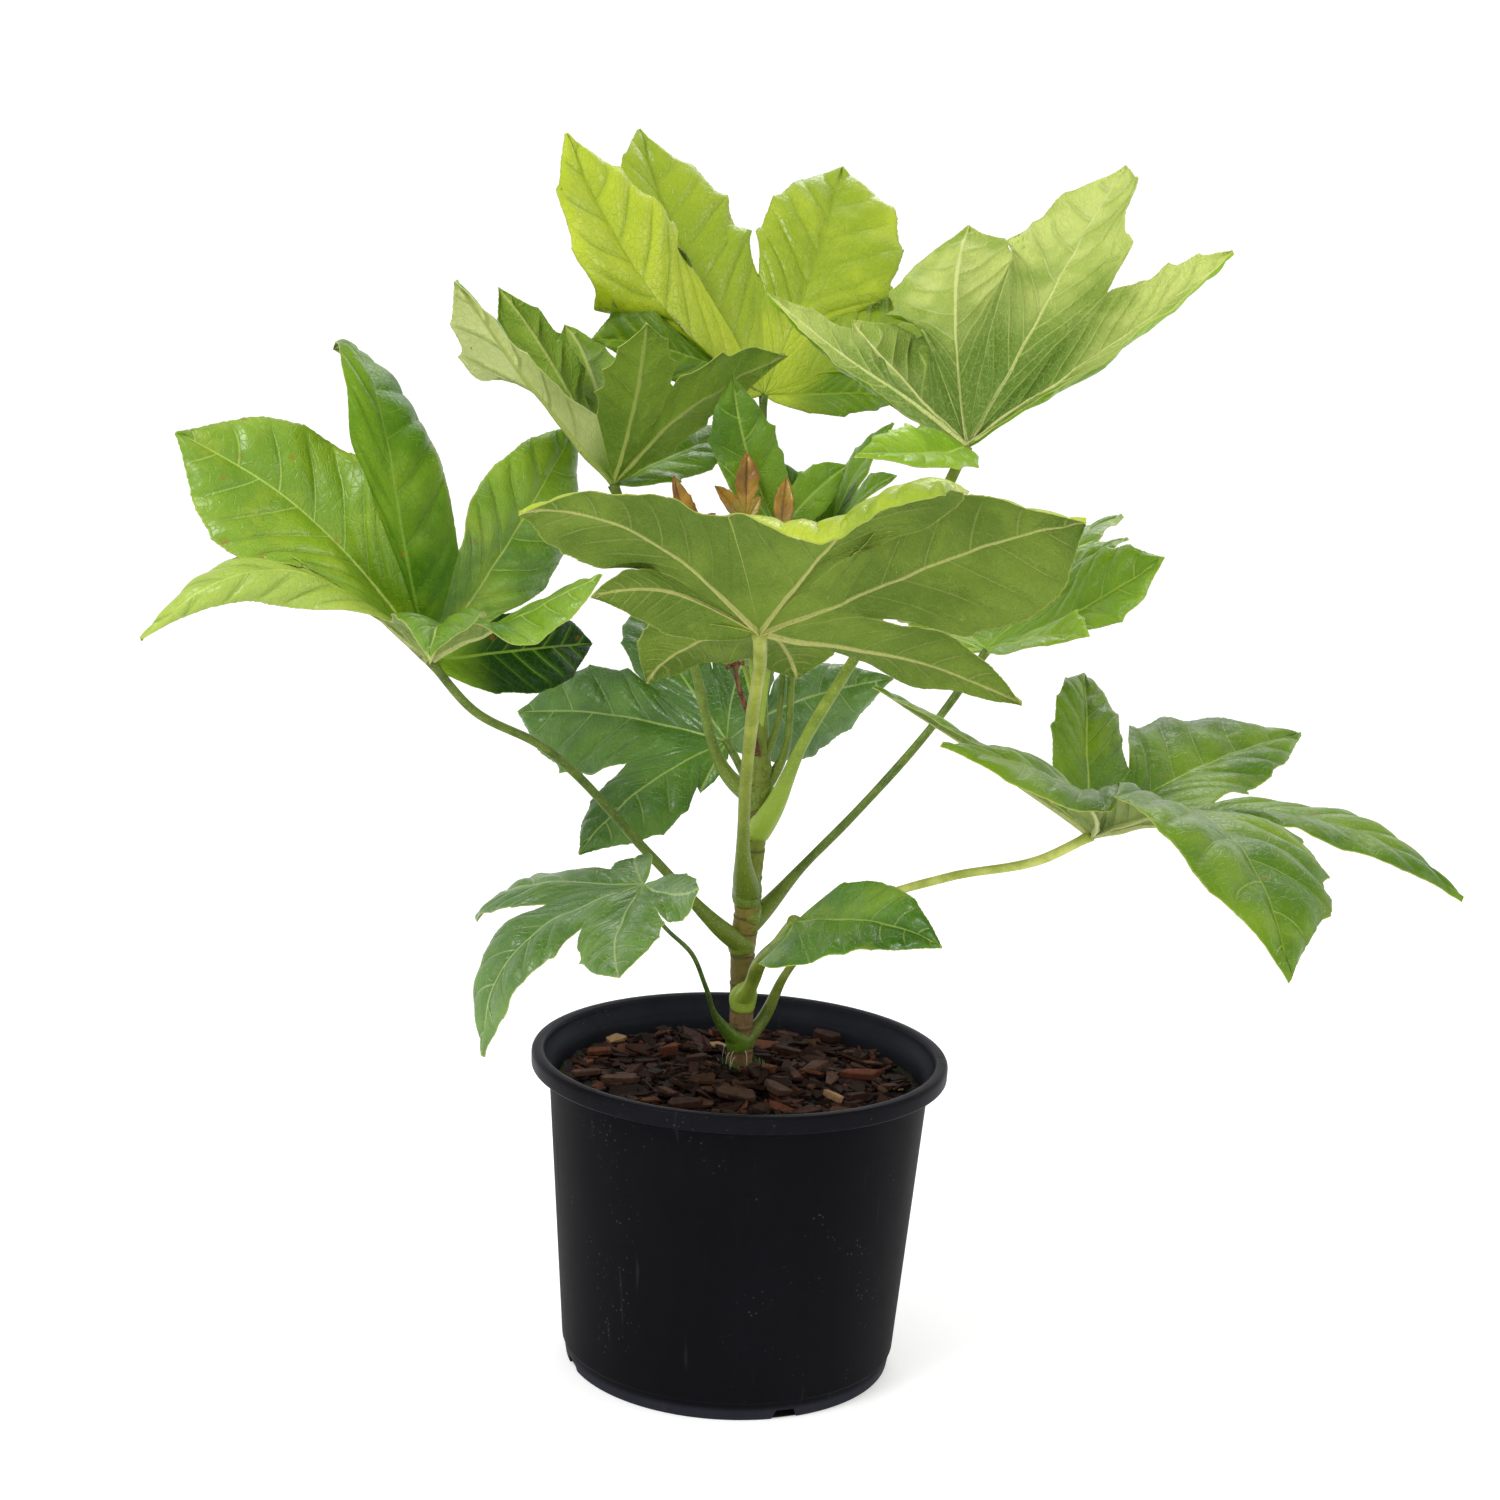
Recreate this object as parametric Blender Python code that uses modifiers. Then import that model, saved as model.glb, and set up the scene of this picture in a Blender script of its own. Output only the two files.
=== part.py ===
# Japanese aralia (Fatsia japonica) in a black 250 mm nursery pot, in metres, +Z up.
# The origin is the middle of the pot's underside, and +Y points away from the front of the plant.
# Every leaf is one blade and one leaf stalk. A blade is a fan of lobes round its base point: each
# lobe is given by the heading, rise and reach of its midrib, and by how wide, arched and folded it
# is. The web between two lobes, the toothed edge and the waves follow from that by formula.
import math
import random

import bmesh
import bpy
import numpy as np

for old in list(bpy.data.objects):
    bpy.data.objects.remove(old, do_unlink=True)

# Driving sizes in millimetres. MM turns them into metres where a mesh is made.
MM = 0.001
GAP = 0.3

POT_HEIGHT = 192.7
RIM_RADIUS = 125.0
RIM_INNER_RADIUS = 117.6
RIM_BAND = 10.9
BODY_TOP_RADIUS = 114.2
BODY_BASE_RADIUS = 101.1
INNER_SHOULDER_Z = 184.0
FOOT_HEIGHT = 11.7
FOOT_RADIUS = 100.0
FOOT_WALL = 3.2
WALL = 2.6
FLOOR_UNDER = 8.6
FLOOR_TOP = 11.2
CENTRE_PAD_RADIUS = 13.0
POT_STEPS = 36
NOTCHES = 6
NOTCH_WIDTH = 16.0
NOTCH_DEPTH = 14.0
NOTCH_HEIGHT = 7.6
NOTCH_TURN = 71.0
DRAIN_HOLES = 6
DRAIN_RADIUS = 5.0
DRAIN_CIRCLE = 80.0

# The top of the potting mix as (radius, height), and the bark chips that lie in it.
SOIL_TOP = [(0.0, 179.0), (30.0, 178.4), (75.0, 175.6), (110.0, 174.0)]
SOIL_STEPS = 28
CHIPS = 64
CHIP_SEED = 7
CHIP_RING = 97.0
CHIP_LENGTH = (11.0, 24.0)
CHIP_WIDTH = (6.0, 12.0)
CHIP_HEIGHT = (4.5, 7.5)
CHIP_LEAN = 0.3
CHIP_ROLL = 0.4
CHIP_SINK = 0.12
WALL_CHIPS_FROM = 88.0
WALL_CHIP_LENGTH = 15.0
GOLDEN_ANGLE = 2.39996
# How much nearer the axis the pot's flat facets lie than its wall's radius.
WALL_SAG = 0.25
STEM_Y = 20.5
STEM_CLEARING = 21.0
STEM_HOLE_Z = 119.0
STEM_HOLE_DEPTH = 90.0
STEM_HOLE_RADIUS = 8.2

# A blade: half the usual width of a lobe and the height of an edge wave are shares of its reach.
BLADE_THICKNESS = 1.0
HALF_WIDTH = 0.19
WEB_LIFT = 0.03
EDGE_WAVE = 0.010
WAVES = 2.2
# Where the vein to a sinus leaves the midrib, and over what share of a lobe its edge turns from
# the web into its own fold. The outermost halves have no web, so they start a little further on.
VEIN_START = 0.72
FOLD_SHARE = 0.45
OUTER_START = 1.15
STALK_BEVEL = 2
STEM_BEVEL = 4
STALK_POINTS = 11
STALK_FOOT_SHARE = 0.28
STUB_LENGTH = 11.0

# The stem's axis from its foot in the potting mix to its tip, with the radius at each point.
STEM = [
    ((0, 21, 120), 6.6),
    ((0, 20, 178), 7.6),
    ((0, 20, 190), 7.8),
    ((0, 19, 212), 7.1),
    ((0, 19, 224), 7.7),
    ((-1, 18, 244), 7.2),
    ((-1, 18, 258), 8.0),
    ((0, 17, 272), 7.4),
    ((0, 17, 286), 8.0),
    ((2, 16, 305), 6.9),
    ((3, 15, 322), 7.4),
    ((5, 14, 338), 6.9),
    ((6, 13, 352), 7.0),
    ((5, 12, 368), 5.6),
    ((3, 11, 384), 3.6),
    ((2, 11, 394), 1.6),
]

# How wide a lobe is on its way from the sinus to the tip, against its half width.
LOBE_WAY = [0.0, 0.10, 0.26, 0.40, 0.55, 0.70, 0.84, 0.93, 1.0]
LOBE_FORM = [0.82, 0.90, 1.0, 0.99, 0.90, 0.72, 0.45, 0.24, 0.0]
# The same for the outer half of the two lobes beside the leaf stalk, from the base to the tip.
OUTER_WAY = [0.0, 0.06, 0.16, 0.30, 0.45, 0.60, 0.75, 0.88, 1.0]
OUTER_FORM = [0.0, 0.34, 0.66, 0.90, 1.0, 0.96, 0.72, 0.38, 0.0]
# Teeth on each edge: where the point is, where the notch after it is, and how far it stands out.
TEETH = [(0.26, 0.34, 0.10), (0.52, 0.60, 0.07), (0.78, 0.87, 0.06)]
FREE_ROWS = [0.0, 0.13, 0.26, 0.34, 0.52, 0.60, 0.78, 0.87, 1.0]
WEB_ROWS = 3
YOUNG_FREE_ROWS = [0.0, 0.26, 0.34, 0.60, 1.0]
YOUNG_WEB_ROWS = 2
FIRST_NOTCH = 0.08

# Each leaf: its base point, how deep each sinus is, its lobes in order round the base, and its
# stalk. A lobe is (heading, rise, reach, width on each side, arch, fold on each side, sweep), in
# degrees, millimetres and shares of the reach or of the usual width. A stalk is the points of its
# path from the stem outward, and its radii at the stem, in the middle and at the blade.
LEAVES = {
    "leaf_left": {
        "base": (-185, -54, 429),
        "sinus": [0.36, 0.28, 0.38, 0.68, 0.45, 0.44],
        "lobes": [
            (47, 0, 124, 1.1, 0.9, 0.09, 15, 5, 0.0),
            (61, 42, 192, 1.1, 0.9, 0.04, -25, 5, -0.01),
            (124, 51, 214, 1.1, 0.5, 0.34, -30, 15, 0.11),
            (187, 41, 187, 1.3, 1.4, 0.05, 10, -5, -0.06),
            (204, 5, 162, 1.1, 1.0, 0.09, 20, 65, -0.03),
            (277, 10, 138, 0.9, 1.0, 0.12, 25, 5, 0.07),
            (331, 28, 128, 1.0, 1.0, 0.0, -45, 5, 0.0),
        ],
        "stalk": [(-1, 18, 252), (-14, 5, 265), (-58, -10, 312), (-123, -31, 379),
                  (-160, -46, 400)],
        "radii": (7.5, 3.9, 3.0),
    },
    "leaf_top": {
        "base": (-4, 74, 579),
        "sinus": [0.42, 0.36, 0.41, 0.47, 0.51],
        "lobes": [
            (18, 0, 90, 0.9, 0.9, 0.05, 10, 5, 0.0),
            (38, 27, 136, 1.0, 0.9, 0.06, 10, 5, -0.07),
            (70, 48, 188, 1.5, 1.1, 0.06, 20, 0, -0.01),
            (150, 58, 182, 1.2, 1.0, 0.01, 20, 5, 0.07),
            (199, 49, 194, 1.0, 1.1, 0.02, 15, 5, 0.14),
            (208, 19, 118, 1.0, 0.9, 0.05, 10, 25, -0.06),
        ],
        "stalk": [(5, 13, 352), (5, 28, 380), (3, 42, 429), (0, 56, 488), (-3, 67, 540)],
        "radii": (5.0, 3.2, 3.0),
    },
    "leaf_upper_left": {
        "base": (-90, 32, 525),
        "sinus": [0.38, 0.35, 0.42, 0.36, 0.40],
        "lobes": [
            (50, 13, 122, 0.9, 0.9, 0.03, 15, -5, 0.01),
            (110, 37, 146, 0.8, 0.8, 0.06, 25, -30, 0.0),
            (154, 53, 138, 0.7, 0.9, 0.04, 40, -45, 0.02),
            (227, 43, 170, 0.95, 0.35, -0.02, -15, 20, 0.0),
            (286, 54, 120, 0.9, 0.9, 0.04, 0, 10, 0.04),
            (371, 38, 128, 1.2, 1.0, 0.0, -5, 10, -0.12),
        ],
        "stalk": [(3, 15, 342), (-12, 21, 353), (-40, 28, 425), (-63, 31, 473), (-78, 32, 500)],
        "radii": (5.0, 3.0, 2.6),
    },
    "leaf_upper_right": {
        "base": (111, -40, 562),
        "sinus": [0.60, 0.62, 0.58, 0.30, 0.27],
        "lobes": [
            (-1, 39, 180, 1.0, 0.8, -0.05, 30, 0, 0.04),
            (50, 48, 216, 0.9, 1.15, 0.03, 20, 0, -0.03),
            (88, 38, 198, 0.9, 1.2, 0.07, -15, -15, 0.02),
            (126, 30, 128, 1.4, 1.0, -0.02, 5, 10, 0.0),
            (177, 34, 140, 1.0, 1.0, -0.01, 10, 5, 0.0),
            (232, -1, 106, 0.9, 1.0, 0.05, 5, 25, 0.07),
        ],
        "stalk": [(4, 15, 322), (14, 4, 343), (27, -6, 379), (61, -20, 447), (91, -31, 512)],
        "radii": (7.0, 3.8, 3.4),
    },
    "leaf_front": {
        "base": (0, -122, 463),
        "sinus": [0.49, 0.48, 0.38, 0.32, 0.50, 0.80],
        "lobes": [
            (192, 11, 94, 1.3, 1.0, 0.12, -40, 10, 0.04),
            (217, 24, 168, 1.2, 0.9, 0.11, -15, 10, 0.03),
            (295, 26, 216, 0.9, 1.0, 0.14, -45, 0, 0.03),
            (325, 22, 206, 1.1, 1.4, 0.07, 20, -30, 0.07),
            (372, -14, 154, 1.0, 1.0, 0.07, 15, 0, 0.04),
            (434, -24, 88, 1.5, 1.4, 0.10, 10, 10, 0.0),
            (494, -24, 98, 1.5, 1.8, 0.10, 10, 10, 0.0),
        ],
        "stalk": [(0, 14, 285), (-3, -2, 306), (-4, -24, 351), (-2, -58, 404), (1, -98, 446)],
        "radii": (7.2, 4.4, 3.8),
    },
    "leaf_right": {
        "base": (139, 65, 432),
        "sinus": [0.50, 0.52, 0.42, 0.42, 0.42],
        "lobes": [
            (-52, 14, 88, 1.0, 1.0, 0.04, 20, 10, 0.01),
            (-26, 32, 126, 1.1, 1.3, -0.03, -15, 35, -0.02),
            (10, 40, 110, 1.0, 1.0, 0.05, 10, 10, 0.0),
            (45, 31, 148, 1.0, 1.0, 0.06, 10, 15, 0.01),
            (113, 7, 118, 1.0, 1.0, 0.05, 10, 10, 0.0),
            (150, -8, 72, 1.0, 1.0, 0.05, 10, 10, 0.0),
        ],
        "stalk": [(0, 18, 263), (13, 26, 276), (31, 34, 297), (60, 42, 328), (113, 58, 392)],
        "radii": (6.0, 3.4, 2.8),
    },
    "leaf_far_right": {
        "base": (196, -41, 343),
        "sinus": [0.48, 0.41, 0.33, 0.36, 0.30],
        "lobes": [
            (-124, 23, 196, 0.9, 1.1, 0.09, 0, -10, 0.15),
            (-75, -3, 258, 1.1, 1.1, 0.18, 0, 0, -0.02),
            (-29, -1, 214, 1.0, 1.0, 0.14, 10, -10, 0.01),
            (44, 11, 206, 0.9, 1.3, 0.02, 10, 0, 0.04),
            (88, 32, 142, 0.7, 0.9, 0.06, 10, 20, 0.03),
            (169, 30, 152, 1.0, 1.0, 0.03, -30, 45, 0.01),
        ],
        "stalk": [(2, 19, 190), (13, 24, 205), (25, 18, 235), (61, 3, 280), (118, -17, 309),
                  (170, -33, 326)],
        "radii": (5.0, 3.0, 2.8),
    },
    "leaf_back": {
        "base": (-17, 58, 370),
        "sinus": [0.43, 0.42, 0.40, 0.46, 0.32],
        "lobes": [
            (45, 10, 152, 1.2, 0.9, -0.02, -45, 5, 0.07),
            (80, 29, 104, 1.0, 1.0, 0.05, 10, 10, 0.05),
            (126, 33, 126, 1.0, 1.0, 0.06, 10, 15, 0.02),
            (151, -1, 154, 1.1, 1.4, 0.05, 15, -10, -0.02),
            (208, -34, 116, 0.9, 1.5, 0.05, -10, -5, -0.05),
            (234, -50, 38, 0.9, 0.9, 0.05, 10, 10, 0.0),
        ],
        "stalk": [(3, 15, 327), (2, 31, 338), (-9, 49, 358)],
        "radii": (5.0, 3.0, 2.8),
    },
    "leaf_low_left": {
        "base": (-59, -73, 309),
        "sinus": [0.34, 0.40, 0.44, 0.51],
        "lobes": [
            (98, 5, 50, 1.2, 1.2, 0.07, 15, 15, 0.02),
            (153, -19, 118, 1.0, 1.0, 0.15, -20, 10, 0.02),
            (213, -42, 132, 1.0, 1.1, 0.24, 10, -5, 0.02),
            (266, -14, 104, 1.0, 1.3, 0.04, 20, -20, -0.06),
            (297, 12, 74, 1.1, 1.0, -0.03, -35, 10, -0.04),
        ],
        "stalk": [(-2, 18, 192), (-13, 6, 207), (-22, -25, 238), (-30, -41, 261), (-49, -62, 286)],
        "radii": (6.0, 2.4, 2.0),
    },
    "leaf_low_right": {
        "base": (28, -67, 290),
        "sinus": [0.80],
        "lobes": [
            (-119, -20, 44, 1.0, 1.0, 0.02, -25, 10, 0.07),
            (-47, 6, 114, 1.0, 1.1, 0.07, 0, 40, 0.01),
        ],
        "stalk": [(0, 18, 218), (5, 0, 234), (9, -20, 252), (19, -46, 271)],
        "radii": (6.5, 3.2, 2.4),
    },
    "leaf_centre_right": {
        "base": (38, 45, 499),
        "sinus": [0.42, 0.48, 0.46],
        "lobes": [
            (-41, 40, 64, 1.0, 1.0, 0.06, 10, 10, 0.0),
            (30, 58, 80, 1.0, 1.0, 0.05, 10, 10, 0.0),
            (85, 43, 58, 1.1, 1.0, 0.05, 15, 10, -0.08),
            (178, 52, 58, 1.1, 1.2, 0.03, 15, 0, 0.08),
        ],
        "stalk": [(5, 13, 346), (17, 17, 368), (21, 22, 420), (30, 36, 468)],
        "radii": (4.0, 2.6, 2.2),
    },
    "leaf_centre_back": {
        "base": (9, 28, 501),
        "sinus": [0.37, 0.35],
        "lobes": [
            (9, 47, 57, 1.1, 1.2, 0.03, 10, 0, 0.05),
            (184, 71, 97, 1.0, 1.1, 0.0, 10, -10, 0.05),
            (200, 46, 58, 1.0, 1.0, 0.06, 10, 15, -0.02),
        ],
        "stalk": [(4, 12, 364), (12, 18, 384), (15, 22, 425), (14, 26, 470)],
        "radii": (2.8, 2.0, 1.8),
    },
}

# The young bronze leaves at the tip of the stem, on thin stalks that leave one bud.
YOUNG = [
    {"base": (-11, 2, 509),
     "sinus": [0.4, 0.4],
     "lobes": [(20, 60, 18, 1.0, 0.9, 0.03, 20, 20, 0.0), (100, 79, 42, 0.95, 0.95, 0.03, 25, 25, 0.0),
               (200, 48, 29, 0.8, 0.9, 0.03, 20, 20, 0.0)],
     "stalk": [(3, 11, 385), (-3, 8, 420), (-9, 4, 470), (-11, 2, 511)]},
    {"base": (10, 3, 500),
     "sinus": [0.4, 0.4],
     "lobes": [(-20, 40, 21, 0.8, 0.8, 0.03, 20, 20, 0.0), (80, 76, 37, 0.85, 0.85, 0.03, 25, 25, 0.0),
               (190, 50, 16, 1.0, 1.0, 0.03, 20, 20, 0.0)],
     "stalk": [(3, 11, 385), (6, 7, 420), (9, 4, 465), (10, 3, 502)]},
    {"base": (-38, 14, 500),
     "sinus": [0.4, 0.4],
     "lobes": [(40, 45, 17, 1.0, 1.0, 0.03, 20, 20, 0.0), (172, 65, 37, 1.0, 0.9, 0.03, 25, 25, 0.12),
               (215, 20, 16, 1.0, 1.0, 0.03, 20, 20, 0.0)],
     "stalk": [(3, 11, 385), (-5, 12, 415), (-24, 13, 462), (-38, 14, 502)]},
]
YOUNG_STALK_RADIUS = 1.5

# The dried flower stalk: its path, its head bar, and its radius.
DRIED_STALK = [(2, 8, 372), (-2, -2, 392), (-8, -10, 408), (-12, -14, 421), (-13, -15, 428)]
DRIED_HEAD = [(-18, -16, 426), (-13, -15, 428), (-8, -14, 429)]
DRIED_RADIUS = 1.6

# Colours from the photo, as linear values, with roughness.
MATERIALS = {
    "pot": ((0.012, 0.012, 0.015), 0.42),
    "bark": ((0.045, 0.018, 0.011), 0.9),
    "stem": ((0.16, 0.10, 0.045), 0.7),
    "stalk": ((0.33, 0.44, 0.10), 0.5),
    "leaf_top": ((0.33, 0.50, 0.03), 0.35),
    "leaf_mid": ((0.10, 0.27, 0.03), 0.35),
    "leaf_pale": ((0.30, 0.42, 0.10), 0.5),
    "leaf_dark": ((0.05, 0.15, 0.035), 0.35),
    "young": ((0.33, 0.19, 0.05), 0.4),
    "dried": ((0.12, 0.05, 0.025), 0.8),
}
BLADE_MATERIAL = {
    "leaf_left": "leaf_mid",
    "leaf_top": "leaf_top",
    "leaf_upper_left": "leaf_mid",
    "leaf_upper_right": "leaf_pale",
    "leaf_front": "leaf_pale",
    "leaf_right": "leaf_mid",
    "leaf_far_right": "leaf_dark",
    "leaf_back": "leaf_dark",
    "leaf_low_left": "leaf_dark",
    "leaf_low_right": "leaf_dark",
    "leaf_centre_right": "leaf_mid",
    "leaf_centre_back": "leaf_mid",
}

parts = bpy.data.collections.new("fatsia_japonica")
cutters = bpy.data.collections.new("cutters")
bpy.context.scene.collection.children.link(parts)
bpy.context.scene.collection.children.link(cutters)


def material(name):
    """The Principled material of this name, made on first use."""
    found = bpy.data.materials.get(name)
    if found:
        return found
    colour, roughness = MATERIALS[name]
    made = bpy.data.materials.new(name)
    made.use_nodes = True
    shader = made.node_tree.nodes["Principled BSDF"]
    shader.inputs["Base Color"].default_value = (*colour, 1.0)
    shader.inputs["Roughness"].default_value = roughness
    shader.inputs["Metallic"].default_value = 0.0
    return made


def add_mesh(name, mesh, collection=parts, look=None):
    """A new object of this mesh in the collection."""
    made = bpy.data.objects.new(name, mesh)
    collection.objects.link(made)
    if look:
        mesh.materials.append(material(look))
    return made


def from_bmesh(name, bm, collection=parts, look=None):
    mesh = bpy.data.meshes.new(name)
    bm.to_mesh(mesh)
    bm.free()
    return add_mesh(name, mesh, collection, look)


def make_helper(obj):
    """Marks an object as a cutter, which is left out of the part."""
    obj.hide_render = True
    obj.display_type = "WIRE"


def boolean(obj, other, operation, solver="EXACT"):
    """Adds and applies one Boolean with an object or with a whole collection."""
    step = obj.modifiers.new("boolean", "BOOLEAN")
    step.operation = operation
    step.solver = solver
    if isinstance(other, bpy.types.Collection):
        step.operand_type = "COLLECTION"
        step.collection = other
    else:
        step.object = other
    bpy.context.view_layer.objects.active = obj
    bpy.ops.object.modifier_apply(modifier=step.name)


def turned(name, profile, steps, look):
    """A profile of (radius, z) points turned about +Z. It runs down its outer side."""
    bm = bmesh.new()
    corners = [bm.verts.new((radius * MM, 0.0, z * MM)) for radius, z in profile]
    for first, second in zip(corners, corners[1:]):
        bm.edges.new((first, second))
    made = from_bmesh(name, bm, parts, look)
    screw = made.modifiers.new("turn", "SCREW")
    screw.axis = "Z"
    screw.angle = 2 * math.pi
    screw.steps = steps
    screw.render_steps = steps
    screw.use_merge_vertices = True
    screw.merge_threshold = 0.00005
    bpy.context.view_layer.objects.active = made
    bpy.ops.object.modifier_apply(modifier=screw.name)
    return made


def smooth_path(points, count):
    """Points evenly along a smooth curve through the given ones (Hermite by chord length)."""
    given = np.array(points, float)
    spans = np.linalg.norm(given[1:] - given[:-1], axis=1)
    slopes = (given[1:] - given[:-1]) / spans[:, None]
    before = spans[:-1, None]
    after = spans[1:, None]
    inner = (slopes[:-1] * after + slopes[1:] * before) / (before + after)
    slopes = np.concatenate([slopes[:1], inner, slopes[-1:]])
    reach = np.concatenate([[0.0], np.cumsum(spans)])
    found = []
    for way in np.linspace(0.0, reach[-1], count):
        k = min(int(np.searchsorted(reach, way, side="right")) - 1, len(spans) - 1)
        t = (way - reach[k]) / spans[k]
        found.append((2 * t**3 - 3 * t**2 + 1) * given[k] + (3 * t**2 - 2 * t**3) * given[k + 1]
                     + spans[k] * ((t**3 - 2 * t**2 + t) * slopes[k]
                                   + (t**3 - t**2) * slopes[k + 1]))
    return found


def tube(name, points, radii, collection=parts, look=None, extra=0.0, bevel=STALK_BEVEL):
    """A round tube along the points as a closed mesh. Extra widens it by that much."""
    curve = bpy.data.curves.new(name, "CURVE")
    curve.dimensions = "3D"
    curve.bevel_depth = MM
    curve.bevel_resolution = bevel
    curve.use_fill_caps = True
    spline = curve.splines.new("POLY")
    spline.points.add(len(points) - 1)
    for place, point, radius in zip(spline.points, points, radii):
        place.co = (point[0] * MM, point[1] * MM, point[2] * MM, 1.0)
        place.radius = radius + extra
    guide = bpy.data.objects.new(name + "_curve", curve)
    collection.objects.link(guide)
    bpy.context.view_layer.update()
    graph = bpy.context.evaluated_depsgraph_get()
    mesh = bpy.data.meshes.new_from_object(guide.evaluated_get(graph))
    bm = bmesh.new()
    bm.from_mesh(mesh)
    bmesh.ops.remove_doubles(bm, verts=bm.verts, dist=0.00001)
    bmesh.ops.recalc_face_normals(bm, faces=bm.faces)
    bm.to_mesh(mesh)
    bm.free()
    place = guide.matrix_world.copy()
    bpy.data.objects.remove(guide, do_unlink=True)
    mesh.materials.clear()
    made = add_mesh(name, mesh, collection, look)
    made.matrix_world = place
    return made


def unit(v):
    """Vectors scaled to length 1 along the last axis."""
    return v / np.maximum(np.linalg.norm(v, axis=-1, keepdims=True), 1e-9)


def ease(x):
    """Smooth step from 0 to 1."""
    x = np.clip(x, 0, 1)
    return x * x * (3 - 2 * x)


def direction(heading, rise):
    """Unit vector of a heading from +X and a rise from the ground plane, in degrees."""
    h = math.radians(heading)
    r = math.radians(rise)
    return np.array([math.cos(r) * math.cos(h), math.cos(r) * math.sin(h), math.sin(r)])


def tooth(x):
    """How far the toothed edge stands out at this place between sinus and tip."""
    out = np.zeros_like(x)
    last = FIRST_NOTCH
    for point, notch, amount in TEETH:
        out = np.where((x >= last) & (x <= point), amount * ((x - last) / (point - last))**2, out)
        out = np.where((x > point) & (x <= notch), amount * (notch - x) / (notch - point), out)
        last = notch
    return out


class Blade:
    """The middle surface of one leaf, worked out in millimetres from its lobes."""

    def __init__(self, leaf, free_rows, web_rows):
        self.free_rows = np.array(free_rows)
        self.web_rows = np.arange(web_rows) / web_rows
        self.base = np.array(leaf["base"], float)
        self.lobes = leaf["lobes"]
        self.count = len(self.lobes)
        self.reach = np.array([lobe[2] for lobe in self.lobes], float)
        self.arch = np.array([lobe[5] for lobe in self.lobes])
        self.sweep = [lobe[8] for lobe in self.lobes]
        self.ahead = np.array([direction(lobe[0], lobe[1]) for lobe in self.lobes])
        between = unit(np.cross(self.ahead[:-1], self.ahead[1:]))
        normal = np.zeros((self.count, 3))
        normal[1:] += between
        normal[:-1] += between
        normal -= (normal * self.ahead).sum(1, keepdims=True) * self.ahead
        self.normal = unit(normal)
        self.across = np.cross(self.normal, self.ahead)
        self.sinus = np.array(leaf["sinus"])
        self.web_ahead = unit(self.ahead[:-1] + self.ahead[1:])
        self.web_normal = unit(self.normal[:-1] + self.normal[1:])
        self.web_reach = self.sinus * 0.5 * (self.reach[:-1] + self.reach[1:])
        rise = self.arch * self.reach
        self.web_arch = 0.5 * (rise[:-1] + rise[1:])
        # Where on the midrib the vein starts that runs out to the sinus.
        self.web_end = []
        for i in range(self.count):
            near = [self.web_reach[k] * (self.web_ahead[k] @ self.ahead[i]) / self.reach[i]
                    for k in (i - 1, i) if 0 <= k < self.count - 1]
            self.web_end.append(VEIN_START * min(near))

    @staticmethod
    def bow(x):
        """The arch of a midrib, highest past its middle."""
        return (x - x**3) / 0.385

    def midrib(self, i, x):
        x = np.asarray(x, float)[..., None]
        return self.base + self.reach[i] * (
            self.ahead[i] * x + self.normal[i] * self.arch[i] * self.bow(x)
            + self.across[i] * self.sweep[i] * 4 * x * (1 - x))

    def tangent(self, i, x):
        x = np.clip(x, 0.001, 0.999)
        return unit(self.midrib(i, x + 0.001) - self.midrib(i, x - 0.001))

    def web(self, k, t):
        """The line between two lobes, from the base to their sinus."""
        t = np.asarray(t, float)[..., None]
        lift = self.web_arch[k] * self.bow(self.sinus[k] * t)
        lift = lift + WEB_LIFT * self.web_reach[k] * (2.4 * t * (1 - t) + 0.4 * t)
        return self.base + self.web_ahead[k] * self.web_reach[k] * t + self.web_normal[k] * lift

    def edge(self, i, side, x, toothed=True):
        """The edge of a lobe on one side (1 towards the next lobe, -1 towards the last)."""
        x = np.asarray(x, float)
        lobe = self.lobes[i]
        half = HALF_WIDTH * self.reach[i] * (lobe[4] if side > 0 else lobe[3])
        fold = math.radians(lobe[7] if side > 0 else lobe[6])
        k = i if side > 0 else i - 1
        inner = 0 <= k < self.count - 1
        if inner:
            corner = self.web(k, 1.0)
            start = (corner - self.base) @ self.ahead[i] / self.reach[i]
            way = start + (1 - start) * x
            offset = corner - self.midrib(i, start)
            narrow = np.linalg.norm(offset)
            width = half * np.interp(x, LOBE_WAY, LOBE_FORM)
            width = width + (narrow - LOBE_FORM[0] * half) * (1 - x)**4
        else:
            way = x
            width = half * np.interp(x, OUTER_WAY, OUTER_FORM)
        run = self.tangent(i, way)
        out = unit(np.cross(self.normal[i], run)) * side
        up = unit(np.cross(run, out) * side)
        aim = out * math.cos(fold) + up * math.sin(fold)
        if inner:
            turn = ease(x / FOLD_SHARE)[..., None]
            aim = unit(offset / narrow * (1 - turn) + aim * turn)
        if toothed:
            width = width * (1 + tooth(x))
        wave = np.sin(2 * math.pi * (WAVES * x + 0.37 * i + 0.2 * side))
        wave = EDGE_WAVE * self.reach[i] * wave * ease(x / 0.2) * np.sqrt(np.maximum(1 - x, 0))
        return self.midrib(i, way) + aim * width[..., None] + up * wave[..., None]

    def rows(self, i, side):
        """Matching points down the midrib and down the edge of one half of a lobe."""
        free = self.free_rows
        web = self.web_rows
        end = self.web_end[i]
        inside = self.midrib(i, np.concatenate([end * web, end + (1 - end) * free]))
        k = i if side > 0 else i - 1
        if 0 <= k < self.count - 1:
            return inside, np.concatenate([self.web(k, web), self.edge(i, side, free)])
        start = OUTER_START * end
        outer = np.concatenate([self.edge(i, side, start * web, False),
                                self.edge(i, side, start + (1 - start) * free)])
        return inside, outer

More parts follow.
